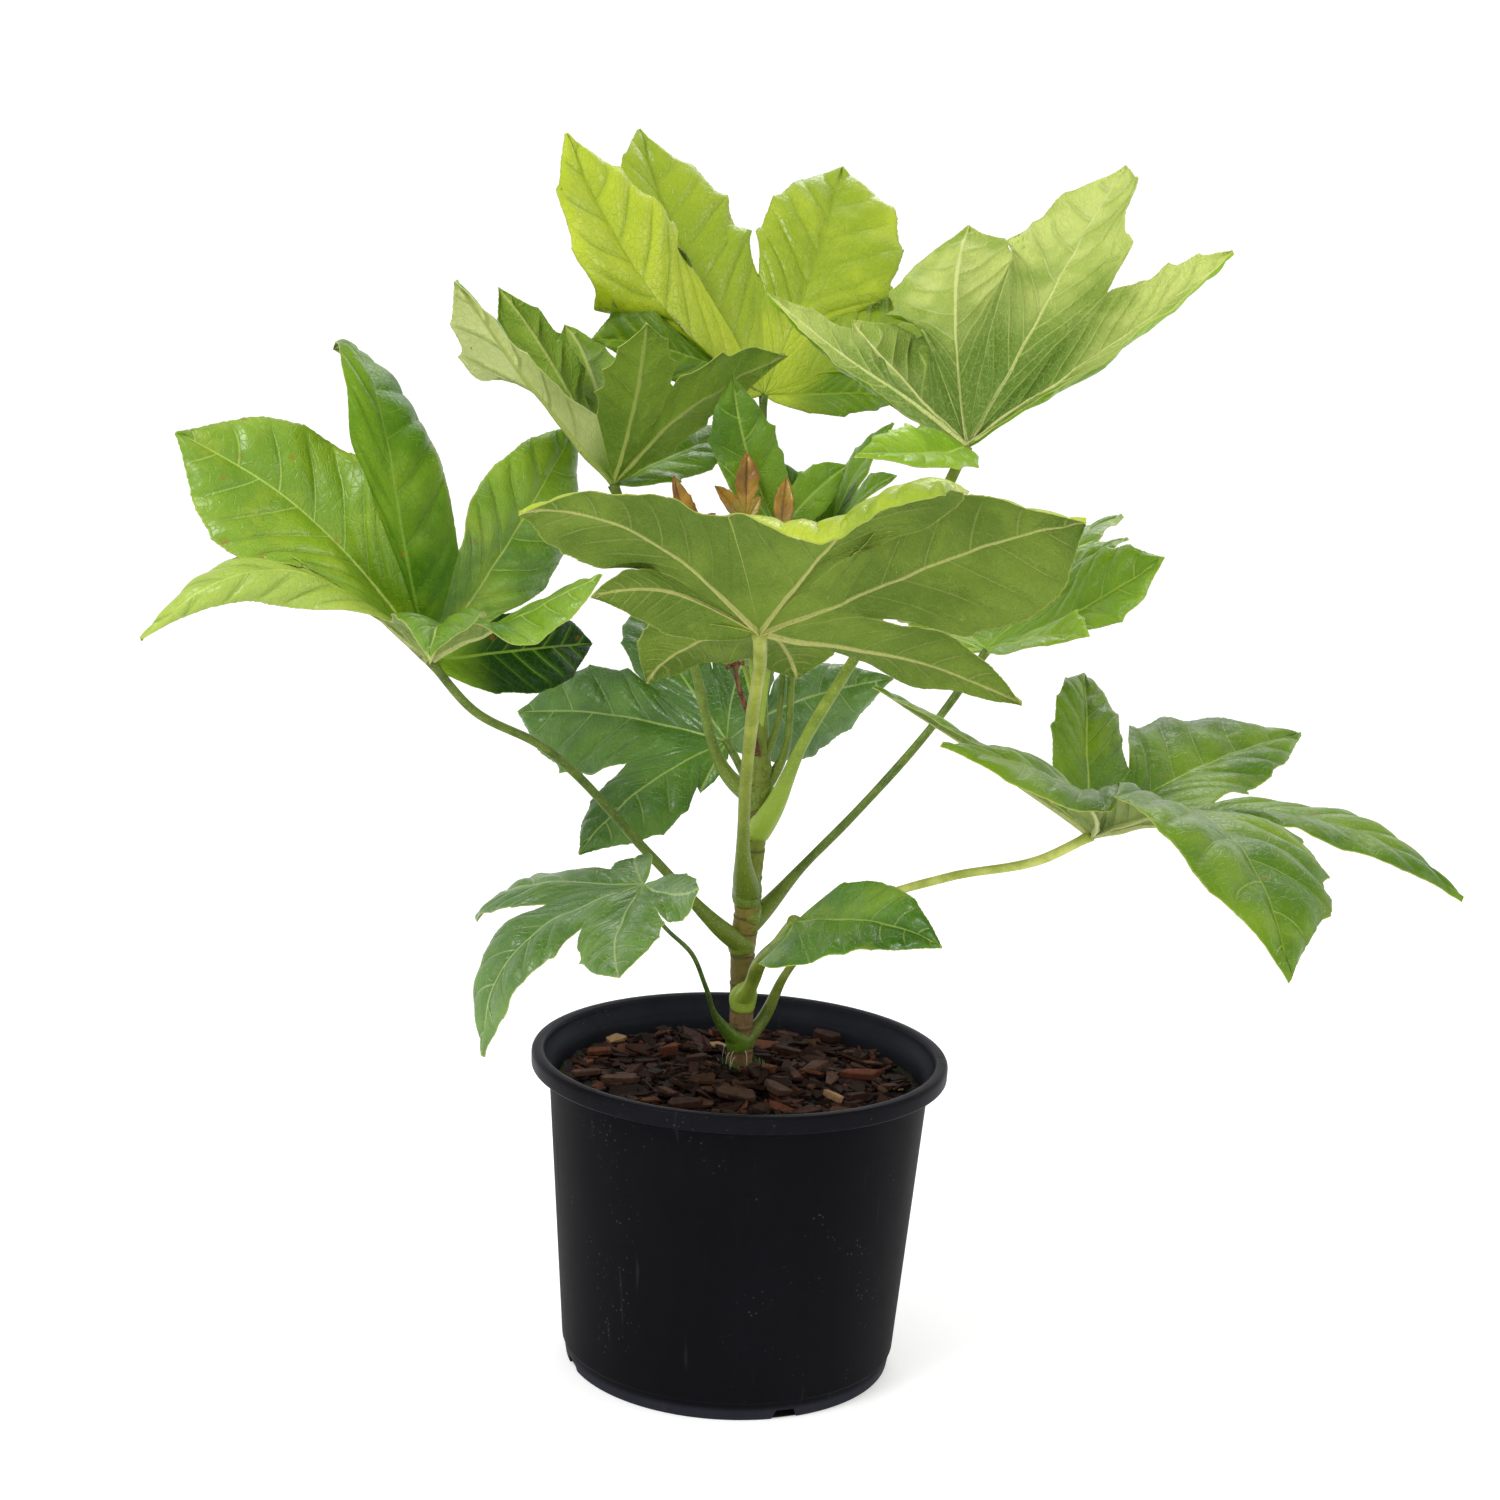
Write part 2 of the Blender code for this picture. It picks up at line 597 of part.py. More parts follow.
    def add_to(self, bm):
        """Adds the surface to a bmesh as triangles that face up."""
        for i in range(self.count):
            for side in (-1, 1):
                inside, outer = self.rows(i, side)
                ins = [bm.verts.new(p * MM) for p in inside]
                outs = [bm.verts.new(p * MM) for p in outer]
                for j in range(len(ins) - 1):
                    for corners in ((ins[j], ins[j + 1], outs[j + 1]), (ins[j], outs[j + 1], outs[j])):
                        if side < 0:
                            corners = corners[::-1]
                        bm.faces.new(corners)


def blade(name, leaf, free_rows, web_rows, collection=parts, look=None):
    """The blade as a closed sheet of even thickness."""
    bm = bmesh.new()
    Blade(leaf, free_rows, web_rows).add_to(bm)
    bmesh.ops.remove_doubles(bm, verts=bm.verts, dist=0.00002)
    bmesh.ops.dissolve_degenerate(bm, edges=bm.edges, dist=0.00001)
    made = from_bmesh(name, bm, collection, look)
    sheet = made.modifiers.new("sheet", "SOLIDIFY")
    sheet.thickness = BLADE_THICKNESS * MM
    sheet.offset = 0.0
    sheet.use_even_offset = False
    bpy.context.view_layer.objects.active = made
    bpy.ops.object.modifier_apply(modifier=sheet.name)
    return made


def stalk_radii(radii, count):
    """Radii along a stalk: a swollen foot that narrows soon, then an even taper."""
    foot, middle, end = radii
    found = []
    for k in range(count):
        x = k / (count - 1)
        found.append(end + (middle - end) * (1 - x) + (foot - middle) * (1 - ease(x / STALK_FOOT_SHARE)))
    return found


def build_pot():
    outer_top = POT_HEIGHT - RIM_BAND
    inner_top = BODY_TOP_RADIUS - WALL
    inner_base = BODY_BASE_RADIUS - WALL
    profile = [
        (0.0, FLOOR_TOP),
        (inner_base - 1.4, FLOOR_TOP),
        (inner_base, FLOOR_TOP + 1.6),
        (inner_top, INNER_SHOULDER_Z),
        (RIM_INNER_RADIUS - 1.2, INNER_SHOULDER_Z + 1.6),
        (RIM_INNER_RADIUS, INNER_SHOULDER_Z + 3.0),
        (RIM_INNER_RADIUS, POT_HEIGHT - 1.8),
        (RIM_INNER_RADIUS + 2.0, POT_HEIGHT),
        (RIM_RADIUS - 1.6, POT_HEIGHT - 0.6),
        (RIM_RADIUS, POT_HEIGHT - 2.6),
        (RIM_RADIUS, outer_top + 1.2),
        (RIM_RADIUS - 1.6, outer_top),
        (BODY_TOP_RADIUS + 1.2, outer_top + 1.0),
        (BODY_TOP_RADIUS, outer_top - 1.0),
        (BODY_BASE_RADIUS, FOOT_HEIGHT),
        (FOOT_RADIUS, FOOT_HEIGHT - 0.8),
        (FOOT_RADIUS, 0.8),
        (FOOT_RADIUS - 0.8, 0.0),
        (FOOT_RADIUS - FOOT_WALL, 0.0),
        (FOOT_RADIUS - FOOT_WALL - 0.4, FLOOR_UNDER),
        (CENTRE_PAD_RADIUS + 1.0, FLOOR_UNDER),
        (CENTRE_PAD_RADIUS, 0.0),
        (0.0, 0.0),
    ]
    pot = turned("pot", profile, POT_STEPS, "pot")
    for k in range(NOTCHES):
        bm = bmesh.new()
        bmesh.ops.create_cube(bm, size=1.0)
        size = (NOTCH_DEPTH * MM, NOTCH_WIDTH * MM, 2 * NOTCH_HEIGHT * MM)
        bmesh.ops.scale(bm, vec=size, verts=bm.verts)
        notch = from_bmesh(f"notch_{k}", bm, cutters)
        angle = 2 * math.pi * (k + 0.5) / NOTCHES - math.radians(NOTCH_TURN)
        notch.location = (FOOT_RADIUS * math.cos(angle) * MM, FOOT_RADIUS * math.sin(angle) * MM, 0)
        notch.rotation_euler = (0, 0, angle)
        make_helper(notch)
    for k in range(DRAIN_HOLES):
        bm = bmesh.new()
        bmesh.ops.create_cone(bm, cap_ends=True, segments=8, radius1=DRAIN_RADIUS * MM,
                              radius2=DRAIN_RADIUS * MM, depth=2 * FLOOR_UNDER * MM)
        hole = from_bmesh(f"drain_{k}", bm, cutters)
        angle = 2 * math.pi * k / DRAIN_HOLES
        hole.location = (DRAIN_CIRCLE * math.cos(angle) * MM, DRAIN_CIRCLE * math.sin(angle) * MM,
                         FLOOR_UNDER * MM)
        make_helper(hole)
    bpy.context.view_layer.update()
    boolean(pot, cutters, "DIFFERENCE")
    return pot


def build_mix():
    """Potting mix with bark chips pressed into its top, and a hole for the stem."""
    slope = (BODY_TOP_RADIUS - BODY_BASE_RADIUS) / (INNER_SHOULDER_Z - FLOOR_TOP - 1.6)
    edge_z = SOIL_TOP[-1][1]
    base_radius = BODY_BASE_RADIUS - WALL - GAP - WALL_SAG
    edge_radius = base_radius + slope * (edge_z - FLOOR_TOP - 1.6)
    profile = SOIL_TOP[:-1] + [
        (edge_radius - 1.2, edge_z),
        (edge_radius, edge_z - 1.2),
        (base_radius, FLOOR_TOP + 3.2),
        (base_radius - 1.3, FLOOR_TOP + GAP),
        (0.0, FLOOR_TOP + GAP),
    ]
    mix = turned("potting_mix", profile, SOIL_STEPS, "bark")
    draw = random.Random(CHIP_SEED)
    chips = bpy.data.collections.new("chips")
    bpy.context.scene.collection.children.link(chips)
    for k in range(CHIPS):
        radius = CHIP_RING * math.sqrt((k + 0.5) / CHIPS)
        angle = GOLDEN_ANGLE * k
        x = radius * math.cos(angle)
        y = radius * math.sin(angle)
        length = draw.uniform(*CHIP_LENGTH)
        width = draw.uniform(*CHIP_WIDTH)
        height = draw.uniform(*CHIP_HEIGHT)
        turn = draw.uniform(0, math.pi)
        lean = draw.uniform(-CHIP_LEAN, CHIP_LEAN)
        roll = draw.uniform(-CHIP_ROLL, CHIP_ROLL)
        level = np.interp(radius, [r for r, z in SOIL_TOP], [z for r, z in SOIL_TOP])
        if radius > WALL_CHIPS_FROM:
            length = min(length, WALL_CHIP_LENGTH)
        if math.hypot(x, y - STEM_Y) < STEM_CLEARING:
            continue
        bm = bmesh.new()
        bmesh.ops.create_cube(bm, size=1.0)
        for v in bm.verts:
            v.co.y *= 1.0 - 0.35 * (v.co.x > 0)
            v.co.z *= 1.0 - 0.25 * (v.co.y > 0)
        bmesh.ops.scale(bm, vec=(length * MM, width * MM, height * MM), verts=bm.verts)
        chip = from_bmesh(f"chip_{k}", bm, chips)
        chip.location = (x * MM, y * MM, (level + height * CHIP_SINK) * MM)
        chip.rotation_euler = (roll, lean, turn)
    bpy.context.view_layer.update()
    boolean(mix, chips, "UNION")
    for chip in list(chips.objects):
        bpy.data.objects.remove(chip, do_unlink=True)
    bpy.data.collections.remove(chips)
    bm = bmesh.new()
    bmesh.ops.create_cone(bm, cap_ends=True, segments=16, radius1=STEM_HOLE_RADIUS * MM,
                          radius2=STEM_HOLE_RADIUS * MM, depth=STEM_HOLE_DEPTH * MM)
    hole = from_bmesh("stem_hole", bm, cutters)
    hole.location = (0, STEM_Y * MM, (STEM_HOLE_Z + STEM_HOLE_DEPTH / 2) * MM)
    make_helper(hole)
    bpy.context.view_layer.update()
    boolean(mix, hole, "DIFFERENCE")
    return mix


def stem_tube(name, extra, collection, look=None):
    points = [point for point, radius in STEM]
    radii = [radius for point, radius in STEM]
    return tube(name, points, radii, collection, look, extra, STEM_BEVEL)


def build_leaf(name, leaf, fat_stem):
    """One blade with the swollen end of its stalk, and the stalk that carries it."""
    base = np.array(leaf["base"], float)
    back = unit(np.array(leaf["stalk"][-1], float) - base)
    whole = blade(name + "_blade", leaf, FREE_ROWS, WEB_ROWS, parts, BLADE_MATERIAL[name])
    radius = leaf["radii"][2]
    stub = tube(name + "_stub", [base - back * 0.6, base + back * STUB_LENGTH],
                [radius * 0.9, radius], cutters)
    boolean(whole, stub, "UNION", "MANIFOLD")
    bpy.data.objects.remove(stub, do_unlink=True)
    end = base + back * (STUB_LENGTH + GAP)
    path = smooth_path(leaf["stalk"] + [tuple(end)], STALK_POINTS)
    stalk = tube(name + "_stalk", path, stalk_radii(leaf["radii"], STALK_POINTS), parts, "stalk")
    boolean(stalk, fat_stem, "DIFFERENCE")


def build_young(fat_stem):
    """Three young leaves and their thin stalks as one piece."""
    pieces = bpy.data.collections.new("young_pieces")
    bpy.context.scene.collection.children.link(pieces)
    for k, leaf in enumerate(YOUNG):
        blade(f"young_{k}", leaf, YOUNG_FREE_ROWS, YOUNG_WEB_ROWS, pieces)
        path = smooth_path(leaf["stalk"], 8)
        tube(f"young_stalk_{k}", path, [YOUNG_STALK_RADIUS] * 8, pieces)
    first = pieces.objects["young_0"]
    first.name = "young_leaves"
    parts.objects.link(first)
    pieces.objects.unlink(first)
    first.data.materials.append(material("young"))
    boolean(first, pieces, "UNION", "MANIFOLD")
    for piece in list(pieces.objects):
        bpy.data.objects.remove(piece, do_unlink=True)
    bpy.data.collections.remove(pieces)
    boolean(first, fat_stem, "DIFFERENCE")


def build_dried_stalk(fat_stem):
    path = smooth_path(DRIED_STALK, 7)
    stalk = tube("dried_flower_stalk", path, [DRIED_RADIUS] * 7, parts, "dried")
    bar = tube("dried_head", DRIED_HEAD, [DRIED_RADIUS * 1.3] * 3, cutters)
    boolean(stalk, bar, "UNION", "MANIFOLD")
    bpy.data.objects.remove(bar, do_unlink=True)
    boolean(stalk, fat_stem, "DIFFERENCE")


def main():
    build_pot()
    build_mix()
    stem_tube("stem", 0.0, parts, "stem")
    fat_stem = stem_tube("fat_stem", GAP, cutters)
    make_helper(fat_stem)
    for name, leaf in LEAVES.items():
        build_leaf(name, leaf, fat_stem)
    build_young(fat_stem)
    build_dried_stalk(fat_stem)


main()
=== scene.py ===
# %% [markdown]
# # A potted Japanese aralia, finished
#
# The solids of this plant are already built and packed: a pot, its potting mix, a stem, twelve
# leaves with their stalks, three young leaves and an old flower stalk. This file dresses them. Every
# piece below is made again with finer shapes, in the same place, and gets its own finish.
# The order is: frame, camera and light, pot, bark, stem, leaf blades, leaf stalks, small things.

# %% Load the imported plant
import math
import random

import bmesh
import bpy
import numpy as np
from mathutils import Matrix, Vector


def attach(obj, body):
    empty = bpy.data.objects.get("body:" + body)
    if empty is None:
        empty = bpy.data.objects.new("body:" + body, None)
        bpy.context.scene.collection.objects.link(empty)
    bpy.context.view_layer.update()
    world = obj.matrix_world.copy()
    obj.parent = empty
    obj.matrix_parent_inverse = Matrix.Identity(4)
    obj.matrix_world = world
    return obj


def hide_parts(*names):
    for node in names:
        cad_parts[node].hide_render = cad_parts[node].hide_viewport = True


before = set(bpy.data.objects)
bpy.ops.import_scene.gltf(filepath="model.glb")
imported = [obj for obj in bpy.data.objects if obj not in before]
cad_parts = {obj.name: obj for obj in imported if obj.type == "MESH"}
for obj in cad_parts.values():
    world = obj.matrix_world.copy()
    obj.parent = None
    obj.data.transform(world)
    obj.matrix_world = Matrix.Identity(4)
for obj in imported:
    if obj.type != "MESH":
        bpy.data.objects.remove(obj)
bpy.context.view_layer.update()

MM = 0.001
print("solids loaded:", len(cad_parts))

# %% [markdown]
# ## The camera
#
# The photo was taken from the front, about a metre and a half away and as high as the upper leaves,
# looking down by 11 degrees and tilted by not quite 3. The numbers come from the ellipses of the
# pot's rim and foot, which only fit one camera. The matrix has the camera's right, up and back
# directions as its columns.

# %% Camera
PITCH = math.radians(10.827)
ROLL = math.radians(2.629)
CAMERA_AT = (-0.00228, -1.50094, 0.66294)
FOCAL_LENGTH = 62.4
forward = Vector((0, math.cos(PITCH), -math.sin(PITCH)))
level = Vector((1, 0, 0))
upright = level.cross(forward)
right = math.cos(ROLL) * level + math.sin(ROLL) * upright
upward = math.cos(ROLL) * upright - math.sin(ROLL) * level

lens = bpy.data.cameras.new("plant_camera")
lens.sensor_width = 36
lens.lens = FOCAL_LENGTH
camera = bpy.data.objects.new("plant_camera", lens)
camera.matrix_world = Matrix((right, upward, -forward)).transposed().to_4x4()
camera.location = CAMERA_AT
bpy.context.scene.collection.objects.link(camera)
bpy.context.scene.camera = camera
print("camera at", CAMERA_AT)

# %% [markdown]
# ## Colours
#
# A shader works with amounts of light, but a colour is chosen on a screen, whose numbers grow more slowly
# than the light they stand for. So each colour below is written as on a screen and turned into light
# here.

# %% Colours as on a screen
def linear(red, green, blue):
    """A colour picked as 0 to 255 on screen, as linear light."""
    out = []
    for value in (red, green, blue):
        share = value / 255
        out.append(share / 12.92 if share <= 0.04045 else ((share + 0.055) / 1.055)**2.4)
    return (*out, 1.0)


print("half grey on screen is this much light:", round(linear(128, 128, 128)[0], 3))

# %% [markdown]
# ## Looks as small node trees
#
# Each finish below is one Principled shader fed by a few procedural nodes. Adding nodes one by one
# takes many lines, so this helper gives each kind of node a short call. A call takes numbers or
# other nodes' outputs and returns an output, so a finish reads like a formula.

# %% Helper for finishes
class Finish:
    """A Principled material, and short calls that add nodes to it."""

    def __init__(self, name, roughness=0.5, **sockets):
        self.material = bpy.data.materials.new(name)
        self.material.use_nodes = True
        self.nodes = self.material.node_tree.nodes
        self.links = self.material.node_tree.links
        self.shader = self.nodes["Principled BSDF"]
        self.shader.inputs["Roughness"].default_value = roughness
        for socket, value in sockets.items():
            self.shader.inputs[socket.replace("_", " ")].default_value = value

    def set(self, socket, value):
        """Links a node's output to the socket, or writes a plain value into it."""
        if isinstance(value, bpy.types.NodeSocket):
            self.links.new(value, socket)
        else:
            socket.default_value = value

    def add(self, kind, inputs, output=0, **settings):
        """A new node with these inputs and settings. Returns one of its outputs."""
        node = self.nodes.new("ShaderNode" + kind)
        for key, value in settings.items():
            setattr(node, key, value)
        for key, value in inputs.items():
            self.set(node.inputs[key], value)
        return node.outputs[output]

    def place(self):
        """Where a point is on the object, in metres."""
        return self.add("TexCoord", {}, "Object")

    def uv(self, name):
        """Both numbers of a UV map."""
        split = self.add("SeparateXYZ", {0: self.add("UVMap", {}, uv_map=name)})
        return split, split.node.outputs[1]

    def math(self, operation, a, b=0.0, c=0.0):
        return self.add("Math", {0: a, 1: b, 2: c}, operation=operation)

    def times(self, a, b):
        return self.math("MULTIPLY", a, b)

    def plus(self, a, b):
        return self.math("ADD", a, b)

    def step(self, value, low, high, start=0.0, end=1.0):
        """Eases from start to end while value goes from low to high."""
        return self.add("MapRange", {"Value": value, "From Min": low, "From Max": high,
                                     "To Min": start, "To Max": end},
                        interpolation_type="SMOOTHSTEP")

    def stretch(self, vector, x, y, z):
        return self.add("Mapping", {"Vector": vector, "Scale": (x, y, z)})

    def noise(self, vector, scale, detail=3.0, rough=0.55):
        """Cloudy noise between 0 and 1, mostly near one half."""
        return self.add("TexNoise", {"Vector": vector, "Scale": scale, "Detail": detail,
                                     "Roughness": rough})

    def cells(self, vector, scale, feature="DISTANCE_TO_EDGE", output=0):
        """How far a cell's edge is, or with F1 its centre. Output 1 is a colour for each cell."""
        return self.add("TexVoronoi", {"Vector": vector, "Scale": scale}, output, feature=feature)

    def mix(self, share, first, second):
        """A colour between two, by share."""
        node = self.nodes.new("ShaderNodeMix")
        node.data_type = "RGBA"
        for index, value in ((0, share), (6, first), (7, second)):
            self.set(node.inputs[index], value)
        return node.outputs[2]

    def bump(self, height, millimetres, strength=1.0):
        """A bumpy normal whose relief is this many millimetres deep."""
        return self.add("Bump", {"Height": height, "Strength": strength,
                                 "Distance": millimetres * MM})

    def finish(self, colour, roughness=None, normal=None):
        """Feeds the shader and returns the material."""
        self.set(self.shader.inputs["Base Color"], colour)
        if roughness is not None:
            self.set(self.shader.inputs["Roughness"], roughness)
        if normal is not None:
            self.set(self.shader.inputs["Normal"], normal)
        return self.material


print("finish helper ready")

# %% [markdown]
# ## Floor and light
#
# The plant was photographed as a shop photographs its goods: white all round, and one large soft
# lamp. The floor is a pale sheet that bends up far behind the plant, so no horizon shows. The sky
# gives even light from everywhere, a large lamp high on the left gives the sheen on the leaves, and
# two weaker ones, on the right and behind, keep the far side open.

# %% Floor
FLAT_RADIUS = 2.2
BENT_RADIUS = 4.5
BENT_HEIGHT = 2.6
BEND_STEPS = 12
FLOOR_STEPS = 96
# How far from the axis, in metres, the painted shadow under the pot ends.
PAINTED_SHADOW_END = (0.0955, 0.0970)
WHITE = (1.0, 1.0, 1.0, 1.0)
BLACK = (0.0, 0.0, 0.0, 1.0)


def bent_floor():
    """A round sheet, flat under the plant and bent up like a bowl far out. In metres."""
    profile = [(FLAT_RADIUS, 0.0)]
    for k in range(1, BEND_STEPS + 1):
        angle = 0.5 * math.pi * k / BEND_STEPS
        profile.append((FLAT_RADIUS + (BENT_RADIUS - FLAT_RADIUS) * math.sin(angle),
                        BENT_HEIGHT * (1 - math.cos(angle))))
    turns = [2 * math.pi * s / FLOOR_STEPS for s in range(FLOOR_STEPS)]
    points = [(r * math.cos(turn), r * math.sin(turn), z) for r, z in profile for turn in turns]
    faces = [tuple(range(FLOOR_STEPS))]
    for ring in range(len(profile) - 1):
        for s in range(FLOOR_STEPS):
            a, b = ring * FLOOR_STEPS + s, ring * FLOOR_STEPS + (s + 1) % FLOOR_STEPS
            faces.append((a, a + FLOOR_STEPS, b + FLOOR_STEPS, b))
    mesh = bpy.data.meshes.new("floor")
    mesh.from_pydata(points, [], faces)
    mesh.shade_smooth()
    return mesh


floor = bpy.data.objects.new("floor", bent_floor())
bpy.context.scene.collection.objects.link(floor)
pale = Finish("pale_floor", roughness=0.9, Emission_Strength=0.30)
where = pale.place()
tone = pale.mix(pale.noise(where, 3.0, 2.0), (0.86, 0.86, 0.86, 1), (0.90, 0.90, 0.90, 1))
# Under the pot the floor is painted dark, a painted shadow, and does not glow, or the notches of the foot
# would look white.
away = pale.add("VectorMath", {0: where}, 1, operation="LENGTH")
outside_painted_shadow = pale.step(away, *PAINTED_SHADOW_END)
tone = pale.mix(outside_painted_shadow, (0.01, 0.01, 0.01, 1), tone)
glow = pale.mix(outside_painted_shadow, BLACK, WHITE)
pale.set(pale.shader.inputs["Emission Color"], glow)
floor.data.materials.append(pale.finish(tone))
print("floor:", len(floor.data.polygons), "faces")

# %% Sky and lamps
SKY_STRENGTH = 0.72
LAMP_AIM = (0.0, 0.0, 0.4)
# For each lamp: where it hangs, its width in metres and its watts.
LAMPS = {
    "key_lamp": ((-1.1, -1.2, 2.0), 0.9, 26.0),
    "side_lamp": ((1.7, -0.6, 1.3), 1.0, 7.0),
    "back_lamp": ((0.3, 1.5, 1.8), 1.2, 10.0),
}
sky = bpy.data.worlds.new("studio")
bpy.context.scene.world = sky
sky.use_nodes = True
sky.node_tree.nodes["Background"].inputs["Color"].default_value = WHITE
sky.node_tree.nodes["Background"].inputs["Strength"].default_value = SKY_STRENGTH
bpy.context.scene.view_settings.view_transform = "Standard"


def soft_lamp(name, place, width, watts):
    """A round lamp that looks at the middle of the plant."""
    light = bpy.data.lights.new(name, "AREA")
    light.shape = "DISK"
    light.size = width
    light.energy = watts
    lamp = bpy.data.objects.new(name, light)
    lamp.location = place
    lamp.rotation_euler = (Vector(LAMP_AIM) - Vector(place)).to_track_quat("-Z", "Y").to_euler()
    bpy.context.scene.collection.objects.link(lamp)


for name, (place, width, watts) in LAMPS.items():
    soft_lamp(name, place, width, watts)
print("lamps:", ", ".join(LAMPS))

# %% [markdown]
# ## From numbers to a piece
#
# Most pieces here are worked out as arrays of points in millimetres, because a plant's curves are
# easier to write as formulas than to push about by hand. This helper makes an object of such an
# array: it scales the points to metres, gives each face its finish, and stores UV maps that the
# finishes read. Every piece then says what it rides on and which solids it stands for.

# %% Helpers for pieces
def make_piece(name, points, faces, finishes, kinds=None, maps=None):
    """An object from points in millimetres. kinds says which finish each face has."""
    mesh = bpy.data.meshes.new(name)
    mesh.from_pydata((np.asarray(points) * MM).tolist(), [], faces)
    for finish in finishes:
        mesh.materials.append(finish)
    if kinds is not None:
        mesh.polygons.foreach_set("material_index", kinds)
    for label, values in (maps or {}).items():
        layer = mesh.uv_layers.new(name=label)
        layer.data.foreach_set("uv", np.asarray(values, dtype=np.float32).ravel())
    mesh.shade_smooth()
    piece = bpy.data.objects.new(name, mesh)
    bpy.context.scene.collection.objects.link(piece)
    return piece


def settle(piece, slot, *nodes):
    """The piece rides on the plant's one body and stands for these solids."""
    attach(piece, "root")
    if nodes:
        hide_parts(*nodes)
    print(piece.name, "has", len(piece.data.polygons), "faces")


def ring_faces(rings, steps, flip=False):
    """Quads between rings of points, each ring closed on itself."""
    faces = []
    for ring in range(rings - 1):
        for s in range(steps):
            a, b = ring * steps + s, ring * steps + (s + 1) % steps
            quad = (a, b, b + steps, a + steps)
            faces.append(quad[::-1] if flip else quad)
    return faces


def apply_modifier(piece, kind, **settings):
    """Adds a modifier with these settings and applies it at once."""
    step = piece.modifiers.new(kind.lower(), kind)
    for key, value in settings.items():
        setattr(step, key, value)
    with bpy.context.temp_override(object=piece, active_object=piece):
        bpy.ops.object.modifier_apply(modifier=step.name)


print("piece helpers ready")

# %% [markdown]
# ## The nursery pot
#
# A nursery pot is thin blown or moulded plastic: a slightly tapered wall, a rolled band round the
# rim, and a foot ring with notches that let water out. Its shape is round, so one profile turned
# about the upright axis gives all of it. A profile drawn with sharp corners catches no light, so
# each corner is first rounded, and the fine turning lines inside the wall are real rings.

# %% Profile of the pot
# Heights and radii in millimetres.
POT_HEIGHT = 192.7
RIM_RADIUS = 125.0
RIM_INNER = 117.6
RIM_BOTTOM = 181.8
BODY_TOP = 114.2
BODY_BASE = 101.1
FOOT_TOP = 11.7
FOOT_RADIUS = 100.0
WALL = 2.6
FLOOR_TOP = 11.2
FLOOR_UNDER = 8.6
SHOULDER = 184.0
TURNING_LINES = 44
LINES_FROM = 150.0
LINES_TO = POT_HEIGHT - 2.0
LINE_DEPTH = 0.24
FLARE_FROM = 177.0
CORNER_STEPS = 3


def rounded(profile, radius):
    """The profile with each inner corner cut off at this radius and filled by a curve."""
    points = [np.array(p, float) for p in profile]
    out = [points[0]]
    for before, corner, after in zip(points, points[1:], points[2:]):
        first, second = before - corner, after - corner
        room = min(radius, 0.45 * np.linalg.norm(first), 0.45 * np.linalg.norm(second))
        start = corner + first / np.linalg.norm(first) * room
        end = corner + second / np.linalg.norm(second) * room
        for k in range(CORNER_STEPS + 1):
            t = k / CORNER_STEPS
            out.append((1 - t)**2 * start + 2 * t * (1 - t) * corner + t * t * end)
    out.append(points[-1])
    return out


inner_top = BODY_TOP - WALL
inner_base = BODY_BASE - WALL
outside = [
    (RIM_INNER, POT_HEIGHT - 1.6), (RIM_INNER + 0.4, POT_HEIGHT - 0.6), (RIM_INNER + 2.6, POT_HEIGHT),
    (RIM_RADIUS - 1.2, POT_HEIGHT - 0.4), (RIM_RADIUS, POT_HEIGHT - 2.4),
    (RIM_RADIUS - 0.2, RIM_BOTTOM + 1.0), (RIM_RADIUS - 1.6, RIM_BOTTOM),
    (BODY_TOP + 1.4, RIM_BOTTOM + 0.8), (BODY_TOP, RIM_BOTTOM - 2.0), (BODY_BASE, FOOT_TOP + 1.0),
    (BODY_BASE - 0.2, FOOT_TOP), (FOOT_RADIUS, FOOT_TOP - 1.0), (FOOT_RADIUS - 1.6, 1.2),
    (FOOT_RADIUS - 2.2, 0.0), (FOOT_RADIUS - 3.6, 0.0), (FOOT_RADIUS - 4.0, FLOOR_UNDER),
    (14.0, FLOOR_UNDER), (13.0, 0.0), (0.0, 0.0),
]
inside = [(0.0, FLOOR_TOP), (inner_base - 2, FLOOR_TOP), (inner_base, FLOOR_TOP + 2)]
for k in range(TURNING_LINES):
    z = LINES_FROM + (LINES_TO - LINES_FROM) * k / (TURNING_LINES - 1)
    share = (z - FLOOR_TOP - 2) / (SHOULDER - FLOOR_TOP - 2)
    radius = inner_base + (inner_top - inner_base) * share
    # Near the rim the wall swings out to the rim's own inner face.
    flare = min(1.0, max(0.0, (z - FLARE_FROM) / (LINES_TO - FLARE_FROM)))
    radius += (RIM_INNER - 0.5 - radius) * flare * flare * (3 - 2 * flare)
    inside.append((radius + LINE_DEPTH * (k % 2), z))
profile = rounded(inside[:3], 1.0)[:-1] + inside[2:] + rounded(outside, 1.1)
print("pot profile:", len(profile), "points")

# %% [markdown]
# A turned profile is a few rings of points joined by faces. The notches of the foot and the drain
# holes are cut afterwards with small boxes, as a knife would cut them: each box is an object, the
# boolean modifier takes it away from the pot, and then the box is removed. The foot has four low
# notches that are narrower at their top.

